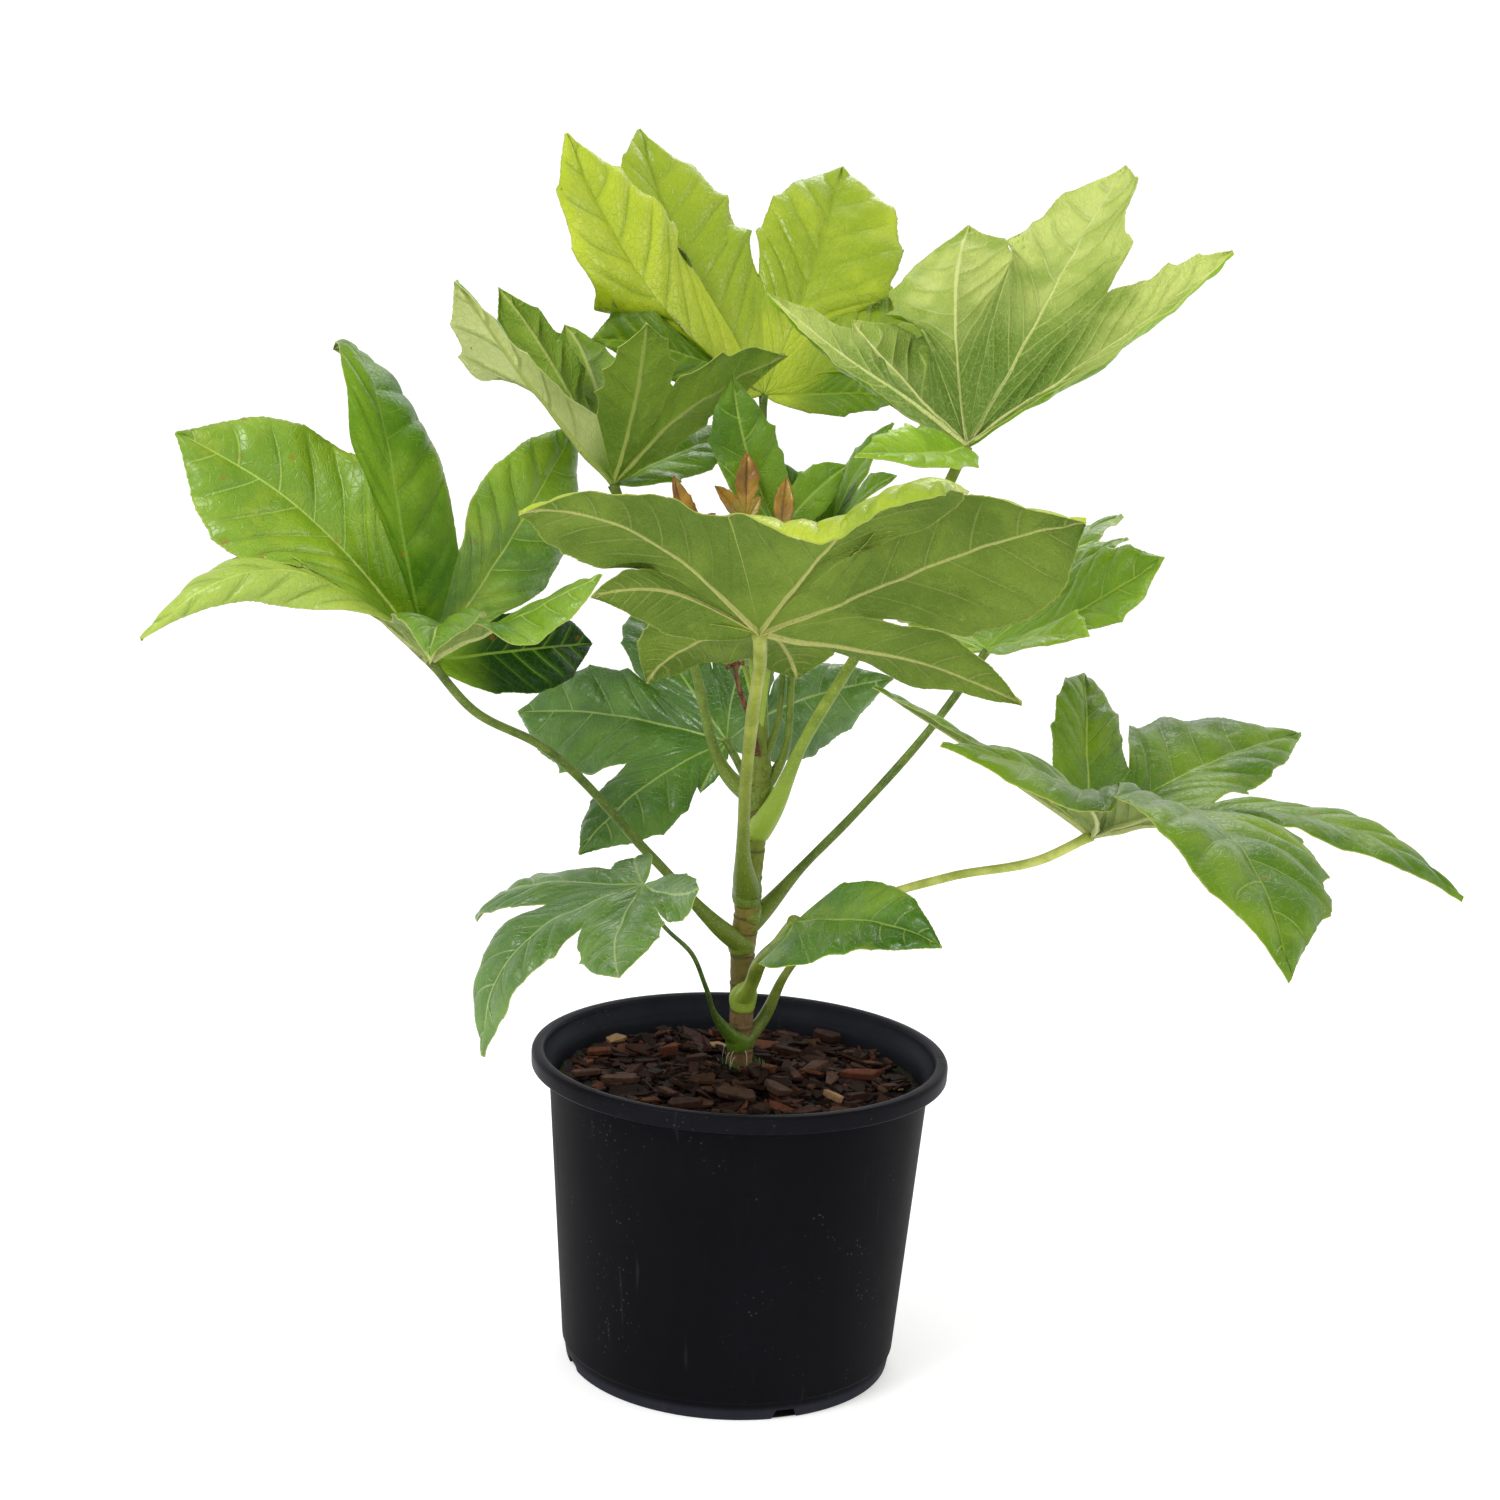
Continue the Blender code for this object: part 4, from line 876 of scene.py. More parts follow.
# %% Table of the leaves
LEAVES = {
    "leaf_left": {
        "base": (-185, -54, 429),
        "sinus": [0.36, 0.28, 0.38, 0.50, 0.25, 0.44],
        "lobes": [
            (47, 0, 124, 1.1, 0.9, 0.09, 15, 5, 0.0),
            (61, 42, 192, 1.1, 0.9, 0.04, -25, 5, -0.01),
            (124, 51, 214, 1.1, 0.5, 0.34, -30, 15, 0.11),
            (187, 41, 187, 1.3, 1.4, 0.05, 10, -5, -0.06),
            (204, 5, 162, 0.95, 0.64, 0.30, -22, -48, -0.06),
            (277, 10, 138, 0.9, 1.0, 0.12, 25, 5, 0.07),
            (331, 28, 128, 1.0, 1.0, 0.0, -45, 5, 0.0),
        ],
        "stalk": [(-1, 18, 252), (-14, 5, 265), (-58, -10, 312), (-123, -31, 379),
                  (-160, -46, 400)],
        "radii": (6.0, 3.0, 2.5),
    },
    "leaf_top": {
        "base": (-4, 74, 579),
        "sinus": [0.42, 0.36, 0.41, 0.47, 0.51],
        "lobes": [
            (18, 0, 90, 0.9, 0.9, 0.05, 10, 5, 0.0),
            (38, 27, 136, 1.0, 0.9, 0.06, 10, 5, -0.07),
            (70, 48, 188, 1.5, 1.1, 0.06, 20, 0, -0.01),
            (150, 58, 182, 1.2, 1.0, 0.01, 20, 5, 0.07),
            (199, 49, 194, 1.0, 1.1, 0.02, 15, 5, 0.14),
            (208, 15, 118, 1.0, 0.9, 0.05, 10, 16, -0.06),
        ],
        "stalk": [(5, 13, 352), (5, 28, 380), (3, 42, 429), (0, 56, 488), (-3, 67, 540)],
        "radii": (4.6, 2.5, 2.4),
    },
    "leaf_upper_left": {
        "base": (-90, 32, 525),
        "sinus": [0.38, 0.35, 0.42, 0.36, 0.40],
        "lobes": [
            (50, 13, 122, 0.9, 0.9, 0.03, 15, -5, 0.01),
            (110, 37, 146, 0.8, 0.8, 0.06, 25, -30, 0.0),
            (154, 53, 138, 0.7, 0.9, 0.04, 40, -45, 0.02),
            (227, 43, 170, 0.95, 0.35, -0.02, -15, 20, 0.0),
            (286, 54, 120, 0.9, 0.9, 0.04, 0, 10, 0.04),
            (371, 38, 128, 1.2, 1.0, 0.0, -5, 10, -0.12),
        ],
        "stalk": [(3, 15, 342), (-12, 21, 353), (-40, 28, 425), (-63, 31, 473), (-78, 32, 500)],
        "radii": (5.3, 3.1, 2.9),
    },
    "leaf_upper_right": {
        "base": (111, -40, 562),
        "sinus": [0.60, 0.62, 0.58, 0.30, 0.27],
        "lobes": [
            (-1, 39, 180, 1.0, 0.8, -0.05, 30, 0, 0.04),
            (50, 48, 216, 0.9, 1.15, 0.03, 20, 0, -0.03),
            (88, 38, 198, 0.9, 1.2, 0.07, -15, -15, 0.02),
            (126, 30, 128, 1.4, 1.0, -0.02, 5, 10, 0.0),
            (177, 34, 140, 1.0, 1.0, -0.01, 10, 5, 0.0),
            (232, -1, 106, 0.9, 1.0, 0.05, 5, 25, 0.07),
        ],
        "stalk": [(4, 15, 322), (14, 4, 343), (27, -6, 379), (61, -20, 447), (91, -31, 512)],
        "radii": (6.6, 3.5, 3.0),
    },
    "leaf_front": {
        "base": (0, -122, 463),
        "sinus": [0.49, 0.48, 0.38, 0.32, 0.50, 0.80],
        "lobes": [
            (192, 11, 94, 1.3, 1.0, 0.12, -40, 10, 0.04),
            (217, 24, 168, 1.2, 0.9, 0.11, -15, 10, 0.03),
            (295, 26, 216, 0.9, 1.0, 0.14, -45, 0, 0.03),
            (325, 22, 206, 1.1, 1.4, 0.07, 20, -30, 0.07),
            (372, -14, 154, 1.0, 1.0, 0.07, 15, 0, 0.04),
            (434, -24, 88, 1.5, 1.4, 0.10, 10, 10, 0.0),
            (494, -24, 98, 1.5, 1.8, 0.10, 10, 10, 0.0),
        ],
        "stalk": [(0, 14, 285), (-3, -2, 306), (-4, -24, 351), (-2, -58, 404), (1, -98, 446)],
        "radii": (6.2, 3.5, 3.9),
    },
    "leaf_right": {
        "base": (139, 65, 432),
        "sinus": [0.50, 0.52, 0.42, 0.42, 0.42],
        "lobes": [
            (-52, 14, 88, 1.0, 1.0, 0.04, 20, 10, 0.01),
            (-26, 32, 126, 1.1, 1.3, -0.03, -15, 35, -0.02),
            (10, 40, 110, 1.0, 1.0, 0.05, 10, 10, 0.0),
            (45, 31, 148, 1.0, 1.0, 0.06, 10, 15, 0.01),
            (113, 7, 118, 1.0, 1.0, 0.05, 10, 10, 0.0),
            (150, -8, 72, 1.0, 1.0, 0.05, 10, 10, 0.0),
        ],
        "stalk": [(0, 18, 263), (13, 26, 276), (31, 34, 297), (60, 42, 328), (113, 58, 392)],
        "radii": (5.8, 2.8, 2.5),
    },
    "leaf_far_right": {
        "base": (196, -41, 343),
        "sinus": [0.48, 0.41, 0.33, 0.36, 0.30],
        "lobes": [
            (-124, 23, 196, 0.9, 1.1, 0.09, 0, -10, 0.15),
            (-75, -3, 258, 1.1, 1.1, 0.18, 0, 0, -0.02),
            (-29, -1, 214, 1.0, 1.0, 0.14, 10, -10, 0.01),
            (44, 11, 206, 0.9, 1.3, 0.02, 10, 0, 0.04),
            (88, 32, 142, 0.7, 0.9, 0.06, 10, 20, 0.03),
            (169, 30, 152, 1.0, 1.0, 0.03, -30, 45, 0.01),
        ],
        "stalk": [(2, 19, 190), (13, 24, 205), (25, 18, 235), (61, 3, 280), (118, -17, 309),
                  (170, -33, 326)],
        "radii": (4.2, 2.0, 2.9),
    },
    "leaf_back": {
        "base": (-17, 58, 370),
        "sinus": [0.43, 0.42, 0.40, 0.46, 0.32],
        "lobes": [
            (45, 10, 152, 1.2, 0.9, -0.02, -45, 5, 0.07),
            (80, 29, 104, 1.0, 1.0, 0.05, 10, 10, 0.05),
            (126, 33, 126, 1.0, 1.0, 0.06, 10, 15, 0.02),
            (151, -1, 154, 1.1, 1.4, 0.05, 15, -10, -0.02),
            (208, -34, 116, 0.9, 1.5, 0.05, -10, -5, -0.05),
            (234, -50, 38, 0.9, 0.9, 0.05, 10, 10, 0.0),
        ],
        "stalk": [(3, 15, 327), (2, 31, 338), (-9, 49, 358)],
        "radii": (4.8, 2.7, 2.5),
    },
    "leaf_low_left": {
        "base": (-59, -73, 309),
        "sinus": [0.34, 0.40, 0.44, 0.51],
        "lobes": [
            (98, 5, 50, 1.2, 1.2, 0.07, 15, 15, 0.02),
            (153, -19, 118, 1.0, 1.0, 0.15, -20, 10, 0.02),
            (213, -42, 132, 1.0, 1.1, 0.24, 10, -5, 0.02),
            (266, -14, 104, 1.0, 1.3, 0.04, 20, -20, -0.06),
            (297, 12, 74, 1.1, 1.0, -0.03, -35, 10, -0.04),
        ],
        "stalk": [(-2, 18, 192), (-13, 6, 207), (-22, -25, 238), (-30, -41, 261), (-49, -62, 286)],
        "radii": (4.6, 1.6, 1.2),
    },
    "leaf_low_right": {
        "base": (28, -67, 290),
        "sinus": [0.80],
        "lobes": [
            (-119, -20, 44, 1.0, 1.0, 0.02, -25, 10, 0.07),
            (-47, 6, 114, 1.0, 1.1, 0.07, 0, 40, 0.01),
        ],
        "stalk": [(0, 18, 218), (5, 0, 234), (9, -20, 252), (19, -46, 271)],
        "radii": (5.3, 4.4, 4.2),
    },
    "leaf_centre_right": {
        "base": (38, 45, 499),
        "sinus": [0.42, 0.48, 0.46],
        "lobes": [
            (-41, 40, 64, 1.0, 1.0, 0.06, 10, 10, 0.0),
            (30, 58, 80, 1.0, 1.0, 0.05, 10, 10, 0.0),
            (85, 43, 58, 1.1, 1.0, 0.05, 15, 10, -0.08),
            (178, 52, 58, 1.1, 1.2, 0.03, 15, 0, 0.08),
        ],
        "stalk": [(5, 13, 346), (17, 17, 368), (21, 22, 420), (30, 36, 468)],
        "radii": (3.8, 2.2, 2.0),
    },
    "leaf_centre_back": {
        "base": (9, 28, 501),
        "sinus": [0.37, 0.35],
        "lobes": [
            (9, 47, 57, 1.1, 1.2, 0.03, 10, 0, 0.05),
            (184, 71, 97, 1.0, 1.1, 0.0, 10, -10, 0.05),
            (200, 46, 58, 1.0, 1.0, 0.06, 10, 15, -0.02),
        ],
        "stalk": [(4, 12, 364), (12, 18, 384), (15, 22, 425), (14, 26, 470)],
        "radii": (2.8, 1.8, 1.7),
    },
}
print("leaves in the table:", len(LEAVES))

# %% [markdown]
# ## The form of one leaf
#
# Between two midribs the blade is one web as far as the sinus, the notch between two lobes. From
# there on each lobe has an edge of its own. So three curves carry the leaf: the midrib of each
# lobe, the line from the base to each sinus, and the free edge. The blade is stretched between them.

# %% Leaf form: midribs and webs
HALF_WIDTH = 0.19
WEB_LIFT = 0.03
EDGE_WAVE = 0.010
WAVES = 2.2
VEIN_START = 0.72
FOLD_SHARE = 0.45
OUTER_START = 1.15
LOBE_WAY = [0.0, 0.10, 0.26, 0.40, 0.55, 0.70, 0.84, 0.93, 1.0]
LOBE_FORM = [0.82, 0.90, 1.0, 0.99, 0.90, 0.71, 0.41, 0.17, 0.0]
OUTER_WAY = [0.0, 0.06, 0.16, 0.30, 0.45, 0.60, 0.75, 0.88, 1.0]
OUTER_FORM = [0.0, 0.34, 0.66, 0.90, 1.0, 0.96, 0.72, 0.38, 0.0]


def direction(heading, rise):
    """A unit vector from two angles in degrees."""
    h, r = math.radians(heading), math.radians(rise)
    return np.array([math.cos(r) * math.cos(h), math.cos(r) * math.sin(h), math.sin(r)])


def bow(x):
    """The arch of a midrib, highest past its middle."""
    return (x - x**3) / 0.385


class LeafForm:
    """The curves that carry one leaf, in millimetres."""

    def __init__(self, leaf):
        self.base = np.array(leaf["base"], float)
        self.lobes = leaf["lobes"]
        self.count = len(self.lobes)
        self.reach = np.array([lobe[2] for lobe in self.lobes], float)
        self.arch = np.array([lobe[5] for lobe in self.lobes])
        self.ahead = np.array([direction(lobe[0], lobe[1]) for lobe in self.lobes])
        between = unit(np.cross(self.ahead[:-1], self.ahead[1:]))
        normal = np.zeros((self.count, 3))
        normal[1:] += between
        normal[:-1] += between
        normal -= (normal * self.ahead).sum(1, keepdims=True) * self.ahead
        self.normal = unit(normal)
        self.across = np.cross(self.normal, self.ahead)
        self.sinus = np.array(leaf["sinus"])
        self.web_ahead = unit(self.ahead[:-1] + self.ahead[1:])
        self.web_normal = unit(self.normal[:-1] + self.normal[1:])
        self.web_reach = self.sinus * 0.5 * (self.reach[:-1] + self.reach[1:])
        rise = self.arch * self.reach
        self.web_arch = 0.5 * (rise[:-1] + rise[1:])
        self.web_end = []
        for i in range(self.count):
            near = [self.web_reach[k] * (self.web_ahead[k] @ self.ahead[i]) / self.reach[i]
                    for k in (i - 1, i) if 0 <= k < self.count - 1]
            self.web_end.append(VEIN_START * min(near))

    def midrib(self, i, x):
        """Points of a lobe's midrib, at the shares x of its reach."""
        x = np.asarray(x, float)[..., None]
        return self.base + self.reach[i] * (
            self.ahead[i] * x + self.normal[i] * self.arch[i] * bow(x)
            + self.across[i] * self.lobes[i][8] * 4 * x * (1 - x))

    def web(self, k, t):
        """The line between two lobes, from the base to their sinus."""
        t = np.asarray(t, float)[..., None]
        lift = self.web_arch[k] * bow(self.sinus[k] * t)
        lift = lift + WEB_LIFT * self.web_reach[k] * (2.4 * t * (1 - t) + 0.4 * t)
        return self.base + self.web_ahead[k] * self.web_reach[k] * t + self.web_normal[k] * lift


print("midribs in all leaves:", sum(len(leaf["lobes"]) for leaf in LEAVES.values()))

# %% [markdown]
# The free edge is not smooth. Every lobe has a few coarse teeth that point to its tip, and the whole
# edge waves a little. No two lobes have quite the same teeth, so their size is drawn for each side.

# %% Leaf form: the free edge
TEETH = [(0.28, 0.325, 0.14), (0.52, 0.565, 0.15), (0.76, 0.805, 0.16)]
FIRST_NOTCH = 0.08


def tooth(x, scales):
    """How far the edge stands out between sinus and tip: a slow rise and a quick, rounded fall."""
    out = np.zeros_like(x)
    last = FIRST_NOTCH
    for (point, notch, amount), scale in zip(TEETH, scales):
        rise = amount * scale * np.clip((x - last) / (point - last), 0, 1)**2.6
        fall = 1 - ease((x - point) / (notch - point))
        out = np.where((x >= last) & (x <= notch), rise * fall, out)
        last = notch
    return out


def free_edge(form, i, side, x, scales):
    """The edge of a lobe on one side (1 towards the next lobe, -1 towards the last)."""
    x = np.asarray(x, float)
    lobe = form.lobes[i]
    half = HALF_WIDTH * form.reach[i] * (lobe[4] if side > 0 else lobe[3])
    fold = math.radians(lobe[7] if side > 0 else lobe[6])
    k = i if side > 0 else i - 1
    inner = 0 <= k < form.count - 1
    if inner:
        # The edge starts at the web's corner, with the width it has there, and swings out from it.
        corner = form.web(k, 1.0)
        start = (corner - form.base) @ form.ahead[i] / form.reach[i]
        way = start + (1 - start) * x
        offset = corner - form.midrib(i, start)
        narrow = np.linalg.norm(offset)
        width = half * np.interp(x, LOBE_WAY, LOBE_FORM)
        width = width + (narrow - LOBE_FORM[0] * half) * (1 - x)**4
    else:
        way = x
        width = half * np.interp(x, OUTER_WAY, OUTER_FORM)
    near = np.clip(way, 0.001, 0.999)
    run = unit(form.midrib(i, near + 0.001) - form.midrib(i, near - 0.001))
    out = unit(np.cross(form.normal[i], run)) * side
    up = unit(np.cross(run, out) * side)
    aim = out * math.cos(fold) + up * math.sin(fold)
    if inner:
        turn = ease(x / FOLD_SHARE)[..., None]
        aim = unit(offset / narrow * (1 - turn) + aim * turn)
    if scales is not None:
        width = width * (1 + tooth(x, scales))
    # Each lobe and side has its wave at another place.
    wave = np.sin(2 * math.pi * (WAVES * x + 0.37 * i + 0.2 * side))
    wave = EDGE_WAVE * form.reach[i] * wave * ease(x / 0.2) * np.sqrt(np.maximum(1 - x, 0))
    return form.midrib(i, way) + aim * width[..., None] + up * wave[..., None]


def outer_line(form, i, side, rho, scales):
    """The outer end of a row: on the web line up to the sinus, and on the free edge after it."""
    end = form.web_end[i]
    k = i if side > 0 else i - 1
    late = np.clip((rho - end) / (1 - end), 0, 1)
    early = np.clip(rho / end, 0, 1)
    if 0 <= k < form.count - 1:
        return np.where((rho < end)[..., None], form.web(k, early),
                        free_edge(form, i, side, late, scales))
    start = OUTER_START * end
    x = np.where(rho < end, start * early, start + (1 - start) * late)
    return free_edge(form, i, side, x, scales)


print("edge formula ready")

# %% [markdown]
# ## The net of a blade
#
# Side veins leave the midrib at a slant and bend towards the tip. If the rows of the mesh run the
# same way, each vein is a row of points, and a vein can be pressed in and the blade between two
# veins can swell, without any picture. So a row starts further back on the midrib than it ends on
# the edge. There are eight rows from one vein to the next, close together at the vein, and the
# columns are close together at the midrib.

# %% Rows and columns of half a lobe
ROW_STEPS = [0.0, 0.07, 0.23, 0.43, 0.5, 0.57, 0.73, 0.93]
COLUMN_STEPS = [0.0, 0.10, 0.22, 0.36, 0.50, 0.63, 0.76, 0.87, 0.95, 1.0]
LEAN = 0.15
VEIN_CURVE = 1.35
RIDGE_WIDTH = 1.3
# Above one, the rows are closer together towards the tip.
TIP_CROWDING = 1.12


def half_lobe(form, i, side, veins, scales):
    """One half of a lobe as arrays of rows by columns: points, share across, width, vein count."""
    web_veins, free_veins = veins
    end = form.web_end[i]
    phase = [k + step for k in range(web_veins + free_veins) for step in ROW_STEPS]
    phase = np.array(phase + [web_veins + free_veins])
    early = end * phase / web_veins
    late = np.clip((phase - web_veins) / free_veins, 0, 1)
    outer = np.where(phase < web_veins, early, end + (1 - end) * (1 - (1 - late)**TIP_CROWDING))
    inner = outer - 4 * LEAN * outer * (1 - outer)
    gap = np.where(phase < web_veins, end / web_veins, (1 - end) / free_veins) * form.reach[i]
    width = np.linalg.norm(outer_line(form, i, side, outer, None) - form.midrib(i, inner), axis=1)
    near = np.clip(RIDGE_WIDTH / np.maximum(width, 1e-6), 0.012, 0.10)[:, None]
    share = np.array(COLUMN_STEPS)[None, :]
    share = np.concatenate([0 * near, near, 2 * near + (1 - 2 * near) * share], axis=1)
    rho = inner[:, None] + (outer - inner)[:, None] * share**VEIN_CURVE
    ribs = form.midrib(i, rho)
    span = outer_line(form, i, side, rho, scales) - ribs
    points = ribs + span * share[..., None]
    points[0] = form.base
    points[-1] = form.midrib(i, 1.0)
    return points, share, np.linalg.norm(span, axis=2), rho, phase[:, None] + 0 * share, gap[:, None]


print("rows between two veins:", len(ROW_STEPS))

# %% [markdown]
# ## Relief of a blade
#
# Four things make a living blade look alive: each half is a little crowned, the fields between two
# side veins swell like cushions, the veins lie in grooves on top, and on the underside they stand out
# as ribs. The midrib's rib is thick at the base and runs out at the tip. All of it is a distance
# along the blade's own normal, one for its top and one for its underside.

# %% Relief of the top and the underside
THICKNESS = 0.45
CROWN = 0.060
QUILT = 0.095
MIDRIB_RIB = 1.9
VEIN_RIB = 0.55
VEIN_GROOVE = 0.30
VEIN_WIDTH = 0.9
ROLLED_EDGE = 0.9
# A lobe from this reach on is fully grown, and its relief is no longer made smaller.
GROWN_REACH = 150


def relief(form, i, side, free, share, width, rho, phase, gap, quilt):
    """Distances along the normal: of the top, and of the underside below it."""
    end = form.web_end[i]
    shift = 0.5 if side < 0 else 0.0
    count = phase + shift
    off = np.abs(count - np.round(count))
    crown = CROWN * (0.5 + 0.5 * ease((rho - end) / 0.25)) * width * 4 * share * (1 - share)
    # A web row has to meet its neighbour at the web line, so its cushions end before it.
    on_web = (phase[:, :1] <= 1e-9) | ((rho[:, -1:] <= end + 1e-9) & (not free))
    fade = np.where(on_web, 1 - ease((share - 0.55) / 0.45), 1 - 0.8 * ease((share - 0.72) / 0.28))
    # Near the base the cushions are low.
    low = 1 - ease((rho * form.reach[i] - 20) / 60)
    cushion = quilt * gap * np.abs(np.sin(math.pi * count))**0.75 * ease(share / 0.28) * fade
    cushion = cushion * (1 - 0.7 * low)
    vein = np.exp(-(off * gap / VEIN_WIDTH)**2) * ease(share / 0.04) * (1 - ease((share - 0.7) / 0.3))
    vein = vein * ease((rho * form.reach[i] - 10) / 45)
    small = min(1.0, form.reach[i] / GROWN_REACH)
    top = crown + cushion - VEIN_GROOVE * small * vein
    rolled = ROLLED_EDGE * small * ease((share - 0.86) / 0.14)
    top = top - np.where(on_web & (not free), 0.0, rolled)
    column = np.arange(share.shape[1])[None, :]
    along = MIDRIB_RIB * small * (1 - rho)**0.9 + 0.3
    rib = along * np.where(column == 0, 1.0, np.where(column == 1, 0.62, 0.0))
    rib = np.maximum(rib, VEIN_RIB * small * vein * (1 - 0.7 * share))
    under = THICKNESS + rib
    return top, under


print("relief formula ready")

# %% [markdown]
# ## One blade as a mesh
#
# The halves of all lobes are joined where they share a midrib or a web line, the normals are worked
# out on that first sheet, and the top and the underside are moved away from it. A narrow strip closes
# the edge all round. Every other point of the free edge is pushed out a fraction of a millimetre,
# which gives the fine saw teeth between the coarse ones.

# %% Blade: arrays of all halves
SAW_TEETH = 0.55
# How far apart, in decimetres, the lobes of a leaf lie in its size map.
LOBE_STRIDE = 3.0


def swell(points):
    """A slow, uneven swell of the whole blade, in millimetres."""
    x, y, z = points.T
    return 0.8 * (np.sin(0.11 * x + 0.05 * z + 1.3) * np.sin(0.13 * y + 0.4)
                  + 0.6 * np.sin(0.19 * z + 0.15 * x + 2.1) * np.cos(0.17 * y - 0.08 * z))


def blade_arrays(leaf, veins, quilt, draw, teeth, turned):
    """All halves of a leaf in flat arrays, with the quads of its sheet and the pairs of its edge."""
    form = LeafForm(leaf)
    store = {key: [] for key in ("points", "top", "under", "veins", "size")}
    quads, edge, lobe_of, start = [], [], [], 0
    for i in range(form.count):
        for side in (-1, 1):
            scales = [teeth * draw.uniform(0.3, 1.35) for _ in TEETH]
            k = i if side > 0 else i - 1
            free = not 0 <= k < form.count - 1
            points, share, width, rho, phase, gap = half_lobe(form, i, side, veins, scales)
            top, under = relief(form, i, side, free, share, width, rho, phase, gap, quilt)
            if i in turned:
                top = under - top
            rows, columns = share.shape
            first = 0 if free else veins[0] * len(ROW_STEPS)
            jag = np.zeros(rows)
            jag[first + 1:rows - 1:2] = SAW_TEETH * min(1.0, form.reach[i] / GROWN_REACH)
            outward = unit(points[:, -1] - points[:, -2])
            points[:, -1] += outward * jag[:, None]
            index = start + np.arange(rows * columns).reshape(rows, columns)
            quad = np.stack([index[:-1, :-1], index[1:, :-1], index[1:, 1:], index[:-1, 1:]], -1)
            rim = np.stack([index[first:-1, -1], index[first + 1:, -1]], -1)
            quads.append(quad.reshape(-1, 4)[:, ::-1] if side < 0 else quad.reshape(-1, 4))
            lobe_of.append(np.full(len(quads[-1]), i))
            edge.append(rim[:, ::-1] if side < 0 else rim)
            store["points"].append(points.reshape(-1, 3))
            store["top"].append(top.ravel())
            store["under"].append(under.ravel())
            count = phase + (0.5 if side < 0 else 0.0)
            off = np.abs(count - np.round(count)) * gap / 10
            store["veins"].append(np.stack([off, share], -1).reshape(-1, 2))
            size = np.stack([side * width * share / 100, rho * form.reach[i] / 100 + LOBE_STRIDE * i], -1)
            store["size"].append(size.reshape(-1, 2))
            start += rows * columns
    flat = {key: np.concatenate(value) for key, value in store.items()}
    return flat, np.concatenate(quads), np.concatenate(edge), np.concatenate(lobe_of)


print("arrays of a blade:", "points, top, under, veins, size")

# %% [markdown]
# Corners that lie on the same spot are welded, so the halves hang together. A corner keeps the UV
# values of its own half, because the same spot can lie on two lobes.

# %% Blade: faces and finishes
def blade_faces(quads, edge, lobe_of, turned, dull, weld, count):
    """Faces as welded corners, the corners of the arrays they use, and which finish each has:
    0 the top, 1 the underside, 2 the edge, 3 the top of a dull lobe."""
    faces, corners, kinds = [], [], []
    rim = np.stack([edge[:, 1], edge[:, 0]], -1)
    for below, block in ((0, quads), (count, quads[:, ::-1])):
        for quad, lobe in zip(block, lobe_of.tolist()):
            kept = dict(zip((weld[quad] + below).tolist(), quad.tolist()))
            if len(kept) > 2:
                faces.append(tuple(kept))
                corners.extend(kept.values())
                pale = (below > 0) != (lobe in turned)
                kinds.append(1 if pale else 3 if lobe in dull else 0)
    for a, b in rim:
        if weld[a] != weld[b]:
            faces.append((weld[b], weld[a], weld[a] + count, weld[b] + count))
            corners.extend((b, a, a, b))
            kinds.append(2)
    return faces, corners, kinds


def make_blade(name, leaf, finishes, veins, seed, quilt=QUILT, teeth=1.0, turned=(), dull=()):
    """A leaf blade. Lobes in turned have their underside where the table's normal points, and
    lobes in dull use the fourth finish on top."""
    flat, quads, edge, lobe_of = blade_arrays(leaf, veins, quilt, random.Random(seed), teeth, turned)
    points, first, weld = np.unique(np.round(flat["points"], 3), axis=0, return_index=True,
                                    return_inverse=True)
    weld = weld.ravel()
    points = flat["points"][first]
    normal = np.zeros_like(points)
    p = points[weld[quads]]
    facing = np.cross(p[:, 2] - p[:, 0], p[:, 3] - p[:, 1])
    for k in range(4):
        np.add.at(normal, weld[quads[:, k]], facing)
    normal = unit(normal)
    top = np.zeros(len(points))
    under = np.zeros(len(points))
    top[weld] = flat["top"]
    under[weld] = flat["under"]
    sheet = points + normal * (top + swell(points))[:, None]
    both = np.concatenate([sheet, sheet - normal * under[:, None]])
    faces, corners, kinds = blade_faces(quads, edge, lobe_of, turned, dull, weld, len(points))
    maps = {"veins": flat["veins"][corners], "size": flat["size"][corners]}
    return make_piece(name, both, faces, finishes, kinds, maps)


print("blade mesh ready")

# %% [markdown]
# ## How a leaf is coloured
#
# The two sides of a leaf are different stuff: the top is a waxy, glossy green with paler veins, the
# underside is matte and much paler, and its ribs are cream. The mesh tells the finish where it is: one UV
# map holds the distance to the nearest side vein in centimetres and the share of the way to the edge, the
# other holds the distance from the midrib and along it in decimetres, plus 3 for each lobe. So a finish
# can also tell the lobes apart, as a leaf with one yellowing lobe needs, and as lobes with painted shade
# or painted light need.

# %% Finish of the upper side
def lobe_mask(f, along, lobes):
    """1 in the named lobes and 0 in the others, with a soft start at the leaf's base."""
    lobe = f.math("FLOOR", f.math("DIVIDE", along, LOBE_STRIDE))
    inside = 0.0
    for k in lobes:
        inside = f.plus(inside, f.math("COMPARE", lobe, float(k), 0.5))
    return f.times(inside, f.step(f.math("MODULO", along, LOBE_STRIDE), 0.06, 0.38))


def tinted(f, tone, along, tints):
    """The tone with its tints: (colour, strength, lobes) for lobes that differ from the rest."""
    for colour, strength, lobes in tints:
        tone = f.mix(f.times(lobe_mask(f, along, lobes), strength), tone, colour)
    return tone


def vein_band(f, off, share, grown, band, fade):
    """A band along each side vein that fades out towards the edge and is not there at the base.
    band and fade are the four numbers of a step, over the distance and over the share."""
    side = f.times(f.step(off, *band), f.step(share, *fade))
    return f.times(side, grown)


